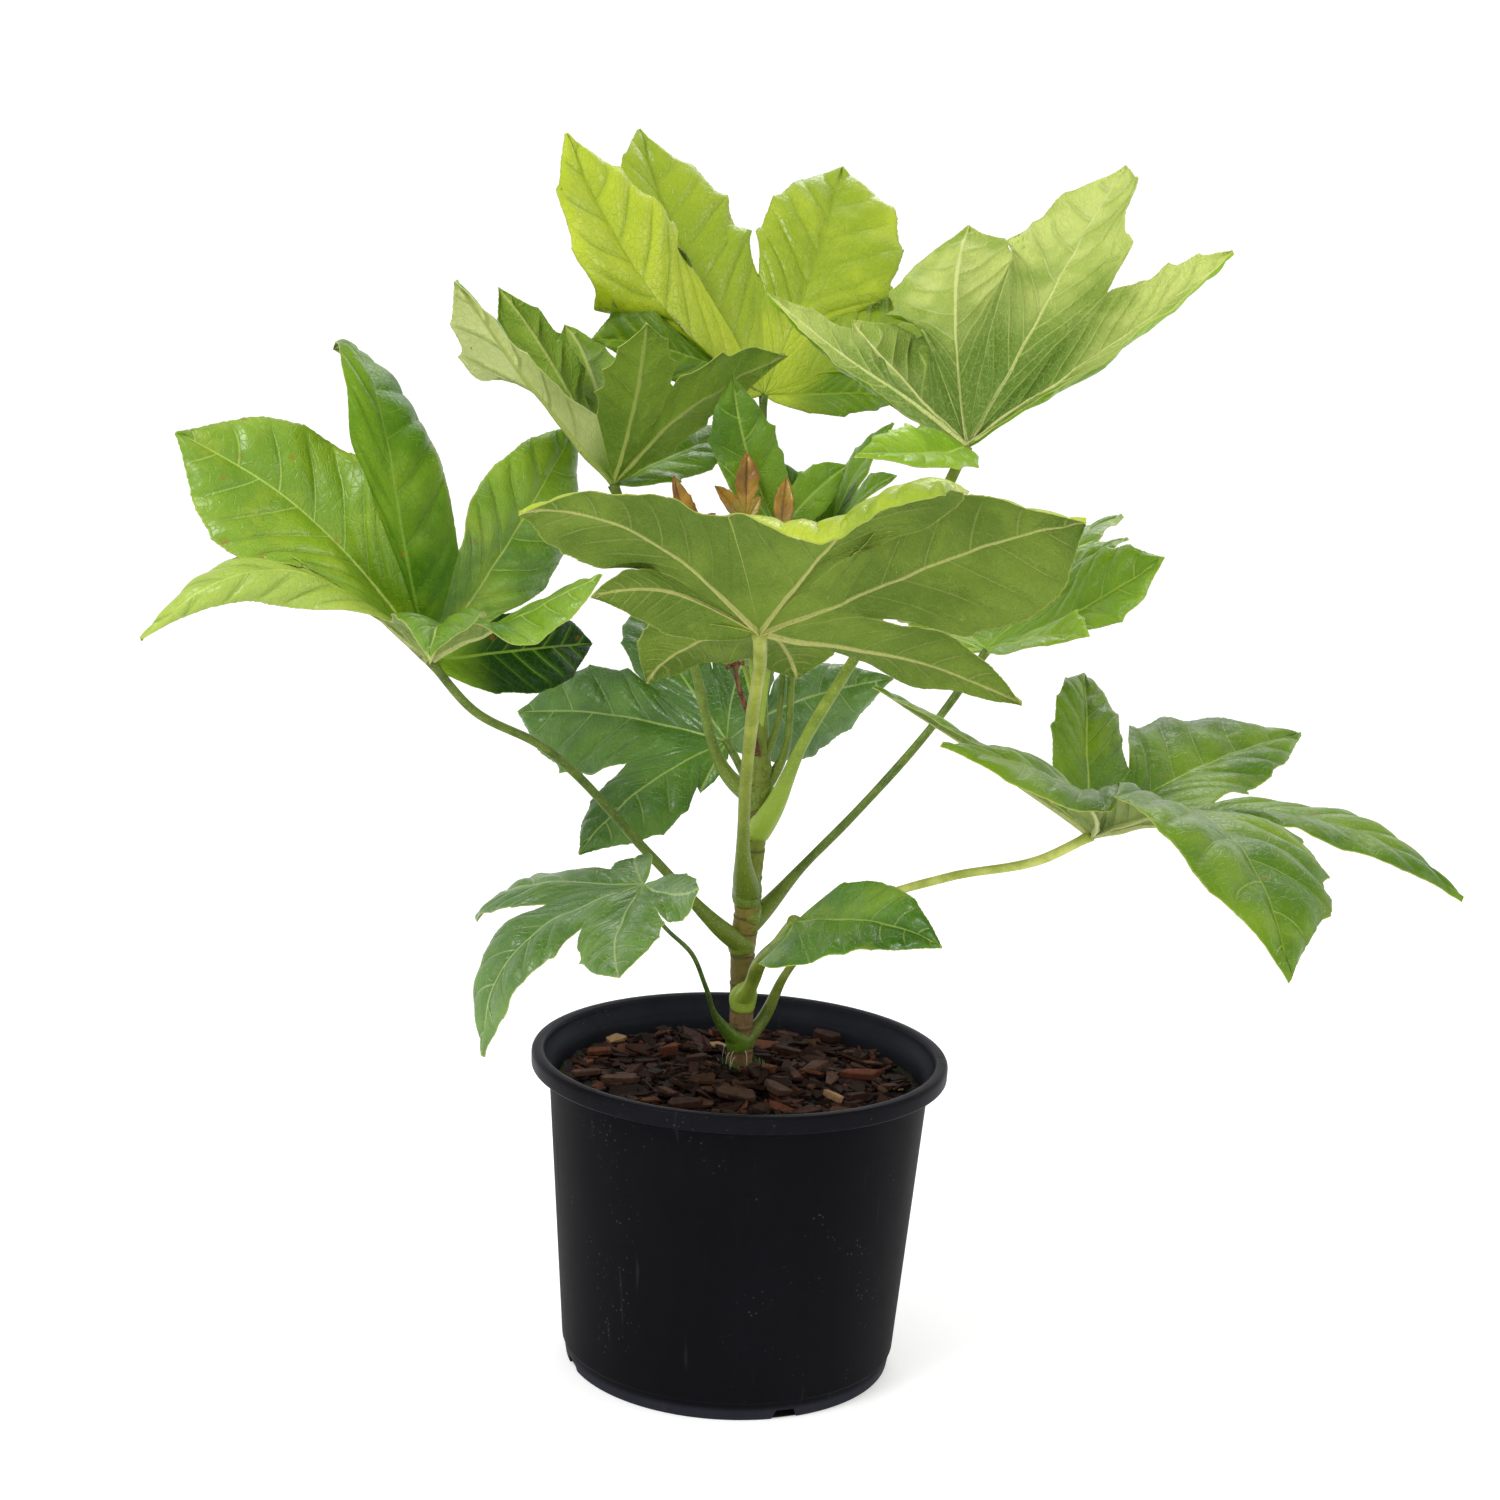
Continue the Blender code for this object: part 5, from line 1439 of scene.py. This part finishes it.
def leaf_top(name, dark, light, vein, yellow, spots, gloss, tints):
    """Waxy green. yellow, spots and gloss say how much of each it has."""
    f = Finish(name, Specular_IOR_Level=gloss)
    where = f.place()
    off, share = f.uv("veins")
    signed, along = f.uv("size")
    across = f.math("ABSOLUTE", signed)
    flat = f.add("UVMap", {}, uv_map="size")
    broad = f.noise(where, 16.0)
    fine = f.noise(where, 170.0, 4.0)
    tone = f.mix(f.step(broad, 0.36, 0.64), dark, light)
    tone = f.mix(f.times(f.step(fine, 0.40, 0.70), 0.18), tone, light)
    faded = f.step(f.noise(where, 30.0, 4.0), 0.52, 0.68, 0.0, yellow)
    tone = f.mix(faded, tone, linear(176, 188, 44))
    tone = tinted(f, tone, along, tints)
    # Painted shade: the groove that each vein lies in is painted darker, so each cushion is lighter than
    # it.
    way = f.math("MODULO", along, LOBE_STRIDE)
    grown = f.step(way, 0.15, 0.75)
    groove_shade = vein_band(f, off, share, grown, (0.02, 0.28, 0.36, 0.0), (0.75, 1.0, 1.0, 0.0))
    tone = f.mix(groove_shade, tone, dark)
    net = f.step(f.cells(flat, 24.0), 0.01, 0.085, 1.0, 0.0)
    tone = f.mix(f.times(net, 0.07), tone, vein)
    side = vein_band(f, off, share, grown, (0.022, 0.060, 1.0, 0.0), (0.50, 0.92, 1.0, 0.0))
    tone = f.mix(f.times(side, 0.50), tone, vein)
    # The pale line on the midrib gets narrower towards the tip.
    half = f.math("MULTIPLY_ADD", way, -0.003, 0.009)
    tone = f.mix(f.step(f.math("SUBTRACT", across, half), -0.003, 0.003, 0.70, 0.0), tone, vein)
    tone = f.mix(f.step(share, 0.970, 1.0, 0.0, 0.40), tone, vein)
    if spots:
        mark = f.cells(where, 46.0, "F1")
        mark = f.plus(mark, f.times(fine, 0.10))
        tone = f.mix(f.step(mark, 0.10, 0.17, spots, 0.0), tone, linear(150, 84, 26))
    patchy = f.step(f.noise(where, 60.0, 3.0), 0.35, 0.7, 0.27, 0.42)
    relief = f.math("SUBTRACT", f.times(fine, 0.5), f.times(net, 0.6))
    # The blade is puckered, but smooth near its base.
    pucker = f.times(f.noise(where, 75.0, 2.0), grown)
    relief = f.math("MULTIPLY_ADD", pucker, 6.0, relief)
    return f.finish(tone, patchy, f.bump(relief, 0.35, 0.8))


print("upper side ready")

# %% [markdown]
# The underside reads the same two maps. Its net of small veins is denser than that of the top and
# stands out as a fine relief.

# %% Finish of the underside
# Painted shade: a dark green painted on shaded hollows and lobes.
LEAF_SHADE = linear(72, 114, 10)


def leaf_under(name, base, pale, rib, side_rib, grain, shade, tints):
    """Matte and pale. side_rib and grain say how much the ribs and the net show, shade how strong the
    painted shade in the hollow round the leaf's base is."""
    f = Finish(name, roughness=0.55, Specular_IOR_Level=0.25)
    where = f.place()
    off, share = f.uv("veins")
    signed, along = f.uv("size")
    across = f.math("ABSOLUTE", signed)
    flat = f.add("UVMap", {}, uv_map="size")
    tone = f.mix(f.step(f.noise(where, 20.0, 3.0), 0.36, 0.64), base, pale)
    tone = tinted(f, tone, along, tints)
    way = f.math("MODULO", along, LOBE_STRIDE)
    grown = f.step(way, 0.15, 0.75)
    # Painted shade: the hollow round the leaf's base is painted a darker green.
    if shade:
        tone = f.mix(f.step(way, 0.40, 1.30, shade, 0.0), tone, LEAF_SHADE)
    # Painted shade darkens the underside beside each vein, and a fine net of veins covers all of it.
    groove_shade = vein_band(f, off, share, grown, (0.05, 0.30, 0.50, 0.0), (0.75, 1.0, 1.0, 0.0))
    tone = f.mix(groove_shade, tone, base)
    net = f.step(f.cells(flat, 21.0), 0.01, 0.10, 1.0, 0.0)
    small_net = f.step(f.cells(flat, 62.0), 0.02, 0.20, 1.0, 0.0)
    nets = f.math("MULTIPLY_ADD", small_net, 0.7, net)
    tone = f.mix(f.times(nets, grain), tone, rib)
    side = vein_band(f, off, share, grown, (0.025, 0.065, 1.0, 0.0), (0.55, 0.95, 1.0, 0.0))
    tone = f.mix(f.times(side, side_rib), tone, rib)
    half = f.math("MULTIPLY_ADD", way, -0.006, 0.017)
    tone = f.mix(f.step(f.math("SUBTRACT", across, half), -0.004, 0.004, 0.85, 0.0), tone, rib)
    tone = f.mix(f.step(share, 0.975, 1.0, 0.0, 0.5), tone, linear(206, 206, 110))
    relief = f.math("MULTIPLY_ADD", f.noise(where, 300.0, 3.0), 0.6, nets)
    return f.finish(tone, None, f.bump(relief, 0.30, 0.9))


print("underside ready")

# %% [markdown]
# ## The twelve grown leaves
#
# The leaves differ in age. The oldest are dark and bluish, the ones in full growth are a warm mid green,
# the newest are lime. The left leaf is an old one that starts to yellow and has small rusty spots. A set
# of three colours here is (dark, light, vein) for a top, or (base, pale, rib) for an underside. The
# single colours are tints for some lobes. Two of them are painted shade on lobes in shadow, two are
# painted light, and the yellowing tint and the pale underside tint are partly painted light.

# %% Colours of the leaves
WARM = (linear(76, 120, 16), linear(122, 156, 36), linear(176, 196, 88))
LIME = (linear(132, 156, 16), linear(172, 188, 42), linear(130, 154, 30))
FRESH = (linear(74, 116, 16), linear(112, 148, 32), linear(160, 184, 80))
DEEP = (linear(50, 92, 6), linear(80, 122, 20), linear(146, 170, 80))
DUSTY = (linear(66, 104, 30), linear(98, 134, 52), linear(156, 178, 104))
CLEAR = (linear(68, 104, 4), linear(102, 134, 18), linear(150, 172, 66))
PALE = (linear(140, 166, 58), linear(193, 207, 110), linear(206, 212, 132))
LEAFY = (linear(110, 150, 18), linear(146, 182, 40), linear(176, 198, 84))
GREY = (linear(100, 124, 46), linear(134, 152, 70), linear(180, 186, 116))
MOSSY = (linear(106, 140, 30), linear(136, 166, 48), linear(172, 184, 94))
OLIVE = (linear(88, 118, 24), linear(113, 140, 40), linear(184, 184, 108))
# Yellowing, partly painted light.
YELLOWING_AND_PAINTED_LIGHT = linear(174, 192, 78)
# Painted light, and a yellower tone, for a lobe of the top leaf.
PAINTED_LIGHT_GOLD = linear(198, 210, 48)
# Painted light for a lobe of the left leaf.
SUNNY = linear(146, 174, 14)
COOL = linear(44, 86, 0)
# A pale underside, made lighter still: partly painted light.
PALE_UNDERSIDE_PAINTED_LIGHT = linear(222, 230, 156)
# Painted shade for a lobe of the left leaf that lies in shadow.
SHADE = linear(16, 50, 0)
print("green light of the newest and the oldest leaves:", round(LIME[1][1], 2), round(DUSTY[1][1], 2))

# %% [markdown]
# Two leaves near the top are twisted. The upper right one has its underside up but for its lowest
# lobe, and two lobes of the upper left one are turned the other way from the rest.

# %% Looks of the twelve leaves
# For each leaf: top colours, underside colours, yellowing, spots, gloss, web and free veins.
LEAF_LOOKS = {
    "left": (WARM, GREY, 0.25, 0.35, 0.46, (3, 7)),
    "top": (LIME, GREY, 0.10, 0.0, 0.38, (3, 7)),
    "upper_left": (FRESH, MOSSY, 0.05, 0.0, 0.34, (2, 5)),
    "upper_right": (LEAFY, PALE, 0.10, 0.0, 0.24, (3, 7)),
    "front": (LIME, OLIVE, 0.05, 0.0, 0.36, (3, 7)),
    "right": (LEAFY, GREY, 0.05, 0.2, 0.38, (2, 5)),
    "far_right": (CLEAR, GREY, 0.10, 0.3, 0.24, (3, 7)),
    "back": (DEEP, GREY, 0.0, 0.0, 0.50, (2, 5)),
    "low_left": (DUSTY, OLIVE, 0.05, 0.2, 0.60, (2, 6)),
    "low_right": (DEEP, GREY, 0.15, 0.3, 0.40, (2, 6)),
    "centre_right": (FRESH, OLIVE, 0.0, 0.0, 0.34, (3, 4)),
    "centre_back": (FRESH, OLIVE, 0.0, 0.0, 0.34, (3, 4)),
}
# Colour, strength and lobes of each tint.
# On the left leaf, the shade tint is painted shade on a lobe in shadow, the sunny tint is painted light,
# and the yellowing tint is partly painted light.
TOP_TINTS = {"left": [(YELLOWING_AND_PAINTED_LIGHT, 0.6, (4,)), (SHADE, 1.0, (0,)), (COOL, 0.35, (2,)),
                      (WARM[0], 0.6, (5,)), (SUNNY, 0.25, (3,))],
             # On the top leaf, the leaf-shade tint is painted shade on its lowest lobes, and the gold
             # tint is painted light.
             "top": [(LEAF_SHADE, 0.85, (0, 5)), (LEAF_SHADE, 0.45, (1,)), (PAINTED_LIGHT_GOLD, 0.35, (4,)),
                     (LIME[0], 0.7, (3,))]}
# Lobes that hardly shine and show little of their veins.
DULL = {"left": (0, 2)}
# The left lobe of the upper left leaf has a pale underside that is partly painted light.
UNDER_TINTS = {"upper_left": [(PALE_UNDERSIDE_PAINTED_LIGHT, 1.0, (3,))]}
# How much the ribs, the net and the painted shade in the hollow round the base show on an underside.
PLAIN_GRAIN = (0.2, 0.10, 0.0)
UNDER_GRAIN = {"upper_right": (0.50, 0.16, 0.90), "upper_left": (0.30, 0.16, 0.30),
               "front": (0.30, 0.08, 0.0)}
# How large the coarse teeth are, and which lobes are turned over.
TOOTH_SIZES = {"upper_right": 1.5, "top": 1.1, "upper_left": 1.4, "right": 1.0, "left": 0.3,
               "front": 0.35, "back": 0.6, "low_left": 0.6, "low_right": 0.5, "far_right": 0.8}
TURNED = {"upper_right": (0, 1, 2, 3, 4), "upper_left": (1, 2)}
# The colour slot of each leaf that is not mid green.
SLOTS = {"top": "leaf_top", "upper_right": "leaf_pale", "front": "leaf_pale",
         "far_right": "leaf_dark", "back": "leaf_dark", "low_left": "leaf_dark",
         "low_right": "leaf_dark"}
print("looks:", len(LEAF_LOOKS), "with tints:", len(TOP_TINTS) + len(UNDER_TINTS))

# %% [markdown]
# Now each blade is made with its own seed, so that no two leaves have the same teeth, and with the
# looks from the tables above.

# %% Twelve blades
FIRST_SEED = 20
total = 0
for k, (name, (tops, unders, yellow, spots, gloss, veins)) in enumerate(LEAF_LOOKS.items()):
    tints = TOP_TINTS.get(name, ())
    above = leaf_top(name + "_top", *tops, yellow, spots, gloss, tints)
    below = leaf_under(name + "_underside", *unders, *UNDER_GRAIN.get(name, PLAIN_GRAIN),
                       UNDER_TINTS.get(name, ()))
    finishes = [above, below, below]
    if name in DULL:
        dark, light, vein = tops
        faint = tuple(0.7 * a + 0.3 * b for a, b in zip(dark, vein))
        finishes.append(leaf_top(name + "_dull_top", dark, light, faint, yellow, spots, 0.2 * gloss,
                                 tints))
    leaf = make_blade(name + "_leaf", LEAVES["leaf_" + name], finishes, veins, FIRST_SEED + k,
                      teeth=TOOTH_SIZES.get(name, 1.0), turned=TURNED.get(name, ()),
                      dull=DULL.get(name, ()))
    settle(leaf, SLOTS.get(name, "leaf_mid"), "leaf_" + name + "_blade")
    total += len(leaf.data.polygons)
print("faces in twelve blades:", total)

# %% [markdown]
# ## Leaf stalks and the feet that clasp the stem
#
# A stalk is round and slender, and at its foot it turns into a sheath that holds the stem like a
# hand. Below the sheath there is a dark line where it will come off one day. So a stalk here is two
# surfaces: a swept tube that widens towards its foot, and a curved shield round the stem that is
# highest under the stalk and low on either side.

# %% Finish of the stalks
def stalk_finish(name, shade, light, foot, reach=0.30):
    """A smooth green with fine dots. foot is its colour at the stem, fading out at reach."""
    f = Finish(name, roughness=0.42, Specular_IOR_Level=0.30)
    where = f.place()
    along, line = f.uv("stalk")
    cloud = f.noise(where, 80.0, 3.0)
    tone = f.mix(f.step(cloud, 0.30, 0.70), shade, light)
    tone = f.mix(f.step(along, 0.02, reach, 0.85, 0.0), tone, foot)
    speck = f.cells(where, 620.0, "F1")
    tone = f.mix(f.step(speck, 0.14, 0.32, 0.22, 0.0), tone, linear(204, 212, 140))
    dark = f.cells(where, 400.0, "F1")
    tone = f.mix(f.step(dark, 0.06, 0.17, 0.38, 0.0), tone, linear(64, 72, 26))
    tone = f.mix(f.step(line, 0.35, 1.0, 0.0, 0.70), tone, linear(74, 62, 24))
    relief = f.math("SUBTRACT", f.times(cloud, 0.6), speck)
    return f.finish(tone, None, f.bump(relief, 0.25, 0.6))


STALK_LOOKS = {
    "cream": stalk_finish("cream_stalk", linear(136, 146, 50), linear(168, 174, 78),
                          linear(80, 106, 20), 0.85),
    "fresh": stalk_finish("fresh_stalk", linear(92, 112, 20), linear(128, 144, 46),
                          linear(150, 176, 60), 0.45),
    "olive": stalk_finish("olive_stalk", linear(70, 92, 18), linear(102, 122, 38),
                          linear(104, 122, 34)),
    "low": stalk_finish("low_stalk", linear(52, 76, 26), linear(82, 104, 40), linear(88, 120, 26)),
    "lime": stalk_finish("lime_stalk", linear(152, 166, 62), linear(198, 204, 108),
                         linear(64, 88, 20), 0.50),
}
print("stalk finishes:", ", ".join(STALK_LOOKS))

# %% Tube and sheath
STALK_RINGS = 64
STALK_SIDES = 22
# How much wider than deep a stalk's foot is, how far a sheath goes round to each side, and how many
# millimetres tall the dark line at its lower edge is.
FOOT_WIDENING = 0.35
SHEATH_WRAP = math.radians(118)
DARK_LINE = 2.2
SHEATH_ROWS = 12
SHEATH_COLUMNS = 35


def stem_at(z):
    """Centre and radius of the stem at a height."""
    centre = np.array([np.interp(z, stem_path[:, 2], stem_path[:, axis]) for axis in (0, 1)])
    return centre, float(np.interp(z, stem_path[:, 2], stem_radii))


def stalk_tube(points, foot, middle, end):
    """Rings of a stalk with these three radii, wider at its foot."""
    line = smooth_path(points, STALK_RINGS)
    x = np.linspace(0, 1, STALK_RINGS)
    radius = end + (middle - end) * (1 - x) + (foot - middle) * (1 - ease(x / 0.28))
    wide = radius * (1 + FOOT_WIDENING * (1 - ease(x / 0.16)))
    # Slight knots, and a swelling where the stalk meets the blade.
    wave = 1 + 0.03 * np.sin(23 * x) + 0.22 * ease((x - 0.965) / 0.035)
    lead = unit(np.array([line[8][0] - line[0][0], line[8][1] - line[0][1], 0.0]))
    across = np.cross([0, 0, 1.0], lead)
    return swept(line, across, wide * wave, radius * wave, STALK_SIDES)


def sheath(lead, bottom, tall, deep):
    """The shield round the stem: points of rows by columns, and the mark of its lower line."""
    heading = math.atan2(lead[1], lead[0])
    points, lines = [], []
    for v in np.linspace(0, 1, SHEATH_ROWS):
        for a in np.linspace(-1, 1, SHEATH_COLUMNS):
            plump = (1 - abs(a)**2.2)**1.1
            z = bottom + 4.5 * a * a + tall * (0.16 + 0.84 * (1 - a * a)**1.3) * v
            (cx, cy), radius = stem_at(z)
            out = (0.5 + deep * (0.35 + 0.9 * v) * plump) * (1 - v**6) * min(1.0, 0.25 + 9 * v)
            turn = heading + SHEATH_WRAP * a
            r = radius - 0.25 + out
            points.append((cx + r * math.cos(turn), cy + r * math.sin(turn), z))
            lines.append(max(0.0, 1 - v * tall / DARK_LINE))
    faces = []
    for row in range(SHEATH_ROWS - 1):
        for c in range(SHEATH_COLUMNS - 1):
            a = row * SHEATH_COLUMNS + c
            faces.append((a, a + 1, a + 1 + SHEATH_COLUMNS, a + SHEATH_COLUMNS))
    return np.array(points), faces, lines


def make_stalk(name, points, radii, bottom, tall, deep, look):
    """One stalk with its foot, as one piece."""
    tube = stalk_tube(points, *radii)
    faces = capped(STALK_RINGS, STALK_SIDES)
    uv = tube_maps([0.0] * STALK_RINGS, STALK_SIDES)
    start = np.array(points[0], float)
    lead = unit(np.array(points[1], float)[:2] - start[:2])
    shield, shield_faces, lines = sheath(lead, bottom, tall, deep)
    shift = len(tube)
    faces += [tuple(k + shift for k in face) for face in shield_faces]
    uv += [(0.0, lines[k]) for face in shield_faces for k in face]
    return make_piece(name, np.concatenate([tube, shield]), faces, [STALK_LOOKS[look]],
                      maps={"stalk": uv})


print("stalk helpers ready")

# %% Twelve stalks
# For each leaf: height of the foot's lower edge, its height and depth, and the look.
FEET = {
    "left": (247, 15, 2.4, "olive"), "top": (344, 16, 1.8, "olive"),
    "upper_left": (335, 16, 2.0, "olive"), "upper_right": (320, 21, 2.8, "fresh"),
    "front": (277, 26, 2.4, "cream"), "right": (265, 15, 2.2, "olive"),
    "far_right": (187, 13, 1.8, "lime"), "back": (323, 14, 2.0, "olive"),
    "low_left": (186, 15, 2.0, "low"), "low_right": (211, 21, 1.9, "fresh"),
    "centre_right": (342, 14, 1.5, "olive"), "centre_back": (358, 12, 1.2, "olive"),
}
for name, (bottom, tall, deep, look) in FEET.items():
    leaf = LEAVES["leaf_" + name]
    piece = make_stalk(name + "_stalk", leaf["stalk"] + [leaf["base"]], leaf["radii"], bottom,
                       tall, deep, look)
    settle(piece, "stalk", "leaf_" + name + "_stalk")

# %% [markdown]
# ## The young leaves
#
# Three leaves have just left the bud. They are bronze, shiny and still half folded, with a saw edge
# that is coarse for their size. They use the same blade mesh with fewer veins.

# %% Table of the young leaves
YOUNG = [
    {"base": (-11, 2, 509),
     "sinus": [0.4, 0.4],
     "lobes": [(20, 60, 18, 1.0, 0.9, 0.03, 20, 20, 0.0), (100, 79, 42, 0.95, 0.95, 0.03, 25, 25, 0.0),
               (200, 48, 29, 0.8, 0.9, 0.03, 20, 20, 0.0)],
     "stalk": [(3, 11, 385), (-3, 8, 420), (-9, 4, 470), (-11, 2, 511)]},
    {"base": (10, 3, 500),
     "sinus": [0.4, 0.4],
     "lobes": [(-20, 40, 21, 0.8, 0.8, 0.03, 20, 20, 0.0), (80, 76, 37, 0.85, 0.85, 0.03, 25, 25, 0.0),
               (190, 50, 16, 1.0, 1.0, 0.03, 20, 20, 0.0)],
     "stalk": [(3, 11, 385), (6, 7, 420), (9, 4, 465), (10, 3, 502)]},
    {"base": (-38, 14, 500),
     "sinus": [0.4, 0.4],
     "lobes": [(40, 45, 17, 1.0, 1.0, 0.03, 20, 20, 0.0), (172, 65, 37, 1.0, 0.9, 0.03, 25, 25, 0.12),
               (215, 20, 16, 1.0, 1.0, 0.03, 20, 20, 0.0)],
     "stalk": [(3, 11, 385), (-5, 12, 415), (-24, 13, 462), (-38, 14, 502)]},
]
YOUNG_NAMES = ["young_leaf_middle", "young_leaf_right", "young_leaf_left"]
YOUNG_VEINS = (1, 4)
YOUNG_QUILT = 0.10
YOUNG_SEED = 60
YOUNG_RADII = (1.7, 1.2)
YOUNG_RINGS = 30
YOUNG_SIDES = 12
print("young leaves:", ", ".join(YOUNG_NAMES))

# %% [markdown]
# Bronze is a brown-green with darker veins and a reddish edge, under a thin coat that shines.

# %% Young leaves
def bronze_finish():
    """Brown-green and glossy, with darker veins."""
    f = Finish("bronze_leaf", Specular_IOR_Level=0.4, Coat_Weight=0.1, Coat_Roughness=0.2)
    where = f.place()
    off, share = f.uv("veins")
    across = f.math("ABSOLUTE", f.uv("size")[0])
    broad = f.noise(where, 70.0, 3.0)
    tone = f.mix(f.step(broad, 0.35, 0.65), linear(130, 88, 20), linear(166, 124, 38))
    tone = f.mix(f.step(f.noise(where, 45.0, 2.0), 0.42, 0.62, 0.0, 0.5), tone, linear(132, 132, 34))
    tone = f.mix(f.step(off, 0.01, 0.05, 0.35, 0.0), tone, linear(112, 84, 34))
    tone = f.mix(f.step(across, 0.002, 0.006, 0.6, 0.0), tone, linear(104, 84, 34))
    tone = f.mix(f.step(share, 0.88, 1.0, 0.0, 0.7), tone, linear(134, 76, 34))
    fine = f.noise(where, 320.0, 4.0)
    return f.finish(tone, f.step(fine, 0.3, 0.7, 0.24, 0.42), f.bump(fine, 0.35, 0.7))


bronze = bronze_finish()
for k, leaf in enumerate(YOUNG):
    blade = make_blade(YOUNG_NAMES[k], leaf, [bronze] * 3, YOUNG_VEINS, YOUNG_SEED + k, YOUNG_QUILT)
    settle(blade, "young", "young_leaves")
    line = smooth_path(leaf["stalk"] + [leaf["base"]], YOUNG_RINGS)
    thin = np.linspace(*YOUNG_RADII, YOUNG_RINGS)
    tube = swept(line, (1, 0, 0), thin, thin, YOUNG_SIDES)
    stalk = make_piece(YOUNG_NAMES[k] + "_stalk", tube, capped(YOUNG_RINGS, YOUNG_SIDES),
                       [STALK_LOOKS["fresh"]],
                       maps={"stalk": tube_maps([0.0] * YOUNG_RINGS, YOUNG_SIDES)})
    settle(stalk, "young", "young_leaves")

# %% [markdown]
# ## The old flower stalk
#
# Beside the tip of the stem stands what is left of last year's flower head: a thin, dry, red-brown
# stalk with a few short stumps where the branches broke off.

# %% Old flower stalk
DRIED_STALK = [(2, 8, 372), (-2, -2, 392), (-8, -10, 408), (-12, -14, 421), (-13, -15, 428)]
STUMPS = [((-18.5, -16, 426.5), 1.4), ((-16.5, -17, 429.5), 1.2), ((-8, -14, 429.5), 1.4),
          ((-12, -17, 431), 1.1), ((-15, -12, 431), 1.0)]


def rough_tube(points, start, end, rings, sides, knots):
    """A tube with uneven thickness."""
    line = smooth_path(points, rings)
    x = np.linspace(0, 1, rings)
    radius = start + (end - start) * x
    radius = radius * (1 + 0.12 * np.sin(knots * x) + 0.06 * np.sin(2.7 * knots * x + 1))
    return swept(line, (1, 0, 0), radius, radius, sides), capped(rings, sides)


def join_parts(parts):
    """Several sets of points and faces as one."""
    points, faces, shift = [], [], 0
    for part_points, part_faces in parts:
        points.append(part_points)
        faces += [tuple(k + shift for k in face) for face in part_faces]
        shift += len(part_points)
    return np.concatenate(points), faces


dry = Finish("dry_stalk", roughness=0.7, Specular_IOR_Level=0.3)
where = dry.place()
grain = dry.noise(dry.stretch(where, 1.0, 1.0, 0.2), 700.0, 4.0)
tone = dry.mix(dry.step(grain, 0.32, 0.68), linear(52, 30, 16), linear(124, 82, 44))
dry.finish(tone, None, dry.bump(grain, 0.3))
parts = [rough_tube(DRIED_STALK, 1.9, 1.4, 40, 14, 21)]
for end, size in STUMPS:
    mid = tuple(0.5 * (a + b) + c for a, b, c in zip(DRIED_STALK[-1], end, (0, 0, 0.6)))
    parts.append(rough_tube([DRIED_STALK[-1], mid, end], size * 0.75, size, 12, 10, 9))
old_stalk = make_piece("old_flower_stalk", *join_parts(parts), [dry.material])
settle(old_stalk, "dried", "dried_flower_stalk")

# %% [markdown]
# ## Moss and root hairs
#
# Where the stem leaves the bark a few fine white roots run down, and a little moss has settled.
# They are tiny, but they show that the plant has stood in its pot for a while.

# %% Moss and root hairs
white_root = Finish("white_root", roughness=0.6)
white_root.finish(white_root.mix(white_root.noise(white_root.place(), 500.0), linear(170, 150, 120),
                                 linear(224, 214, 196)))
moss = Finish("moss", roughness=0.85)
moss.finish(moss.mix(moss.noise(moss.place(), 900.0), linear(50, 74, 24), linear(108, 130, 50)))
ROOTS = 5
TUFTS = 40
# The stem's own place across the pot's middle, at the height of the bark.
FOOT_Y = 20
draw = random.Random(5)
parts, kinds = [], []
for k in range(ROOTS):
    angle = math.radians(draw.uniform(150, 300))
    reach = draw.uniform(3, 7)
    a = (7.0 * math.cos(angle), FOOT_Y + 7.0 * math.sin(angle), draw.uniform(183, 189))
    b = (a[0] + 0.5 * reach * math.cos(angle), a[1] + 0.5 * reach * math.sin(angle), a[2] - 1)
    c = (a[0] + reach * math.cos(angle), a[1] + reach * math.sin(angle) - 1, 179.0)
    parts.append(rough_tube([a, b, c], 0.26, 0.14, 12, 6, 11))
    kinds += [0] * len(parts[-1][1])
for k in range(TUFTS):
    angle = draw.uniform(0, 2 * math.pi)
    reach = draw.uniform(8.5, 15)
    foot = np.array([reach * math.cos(angle), FOOT_Y + reach * math.sin(angle),
                     soil_height(25) + 0.5])
    tip = foot + [draw.uniform(-1, 1), draw.uniform(-1, 1), draw.uniform(1.5, 4.0)]
    parts.append(rough_tube([foot, 0.5 * (foot + tip) + [0.3, 0, 0], tip], 0.7, 0.15, 5, 5, 7))
    kinds += [1] * len(parts[-1][1])
litter = make_piece("moss_and_roots", *join_parts(parts), [white_root.material, moss.material], kinds)
settle(litter, "bark")
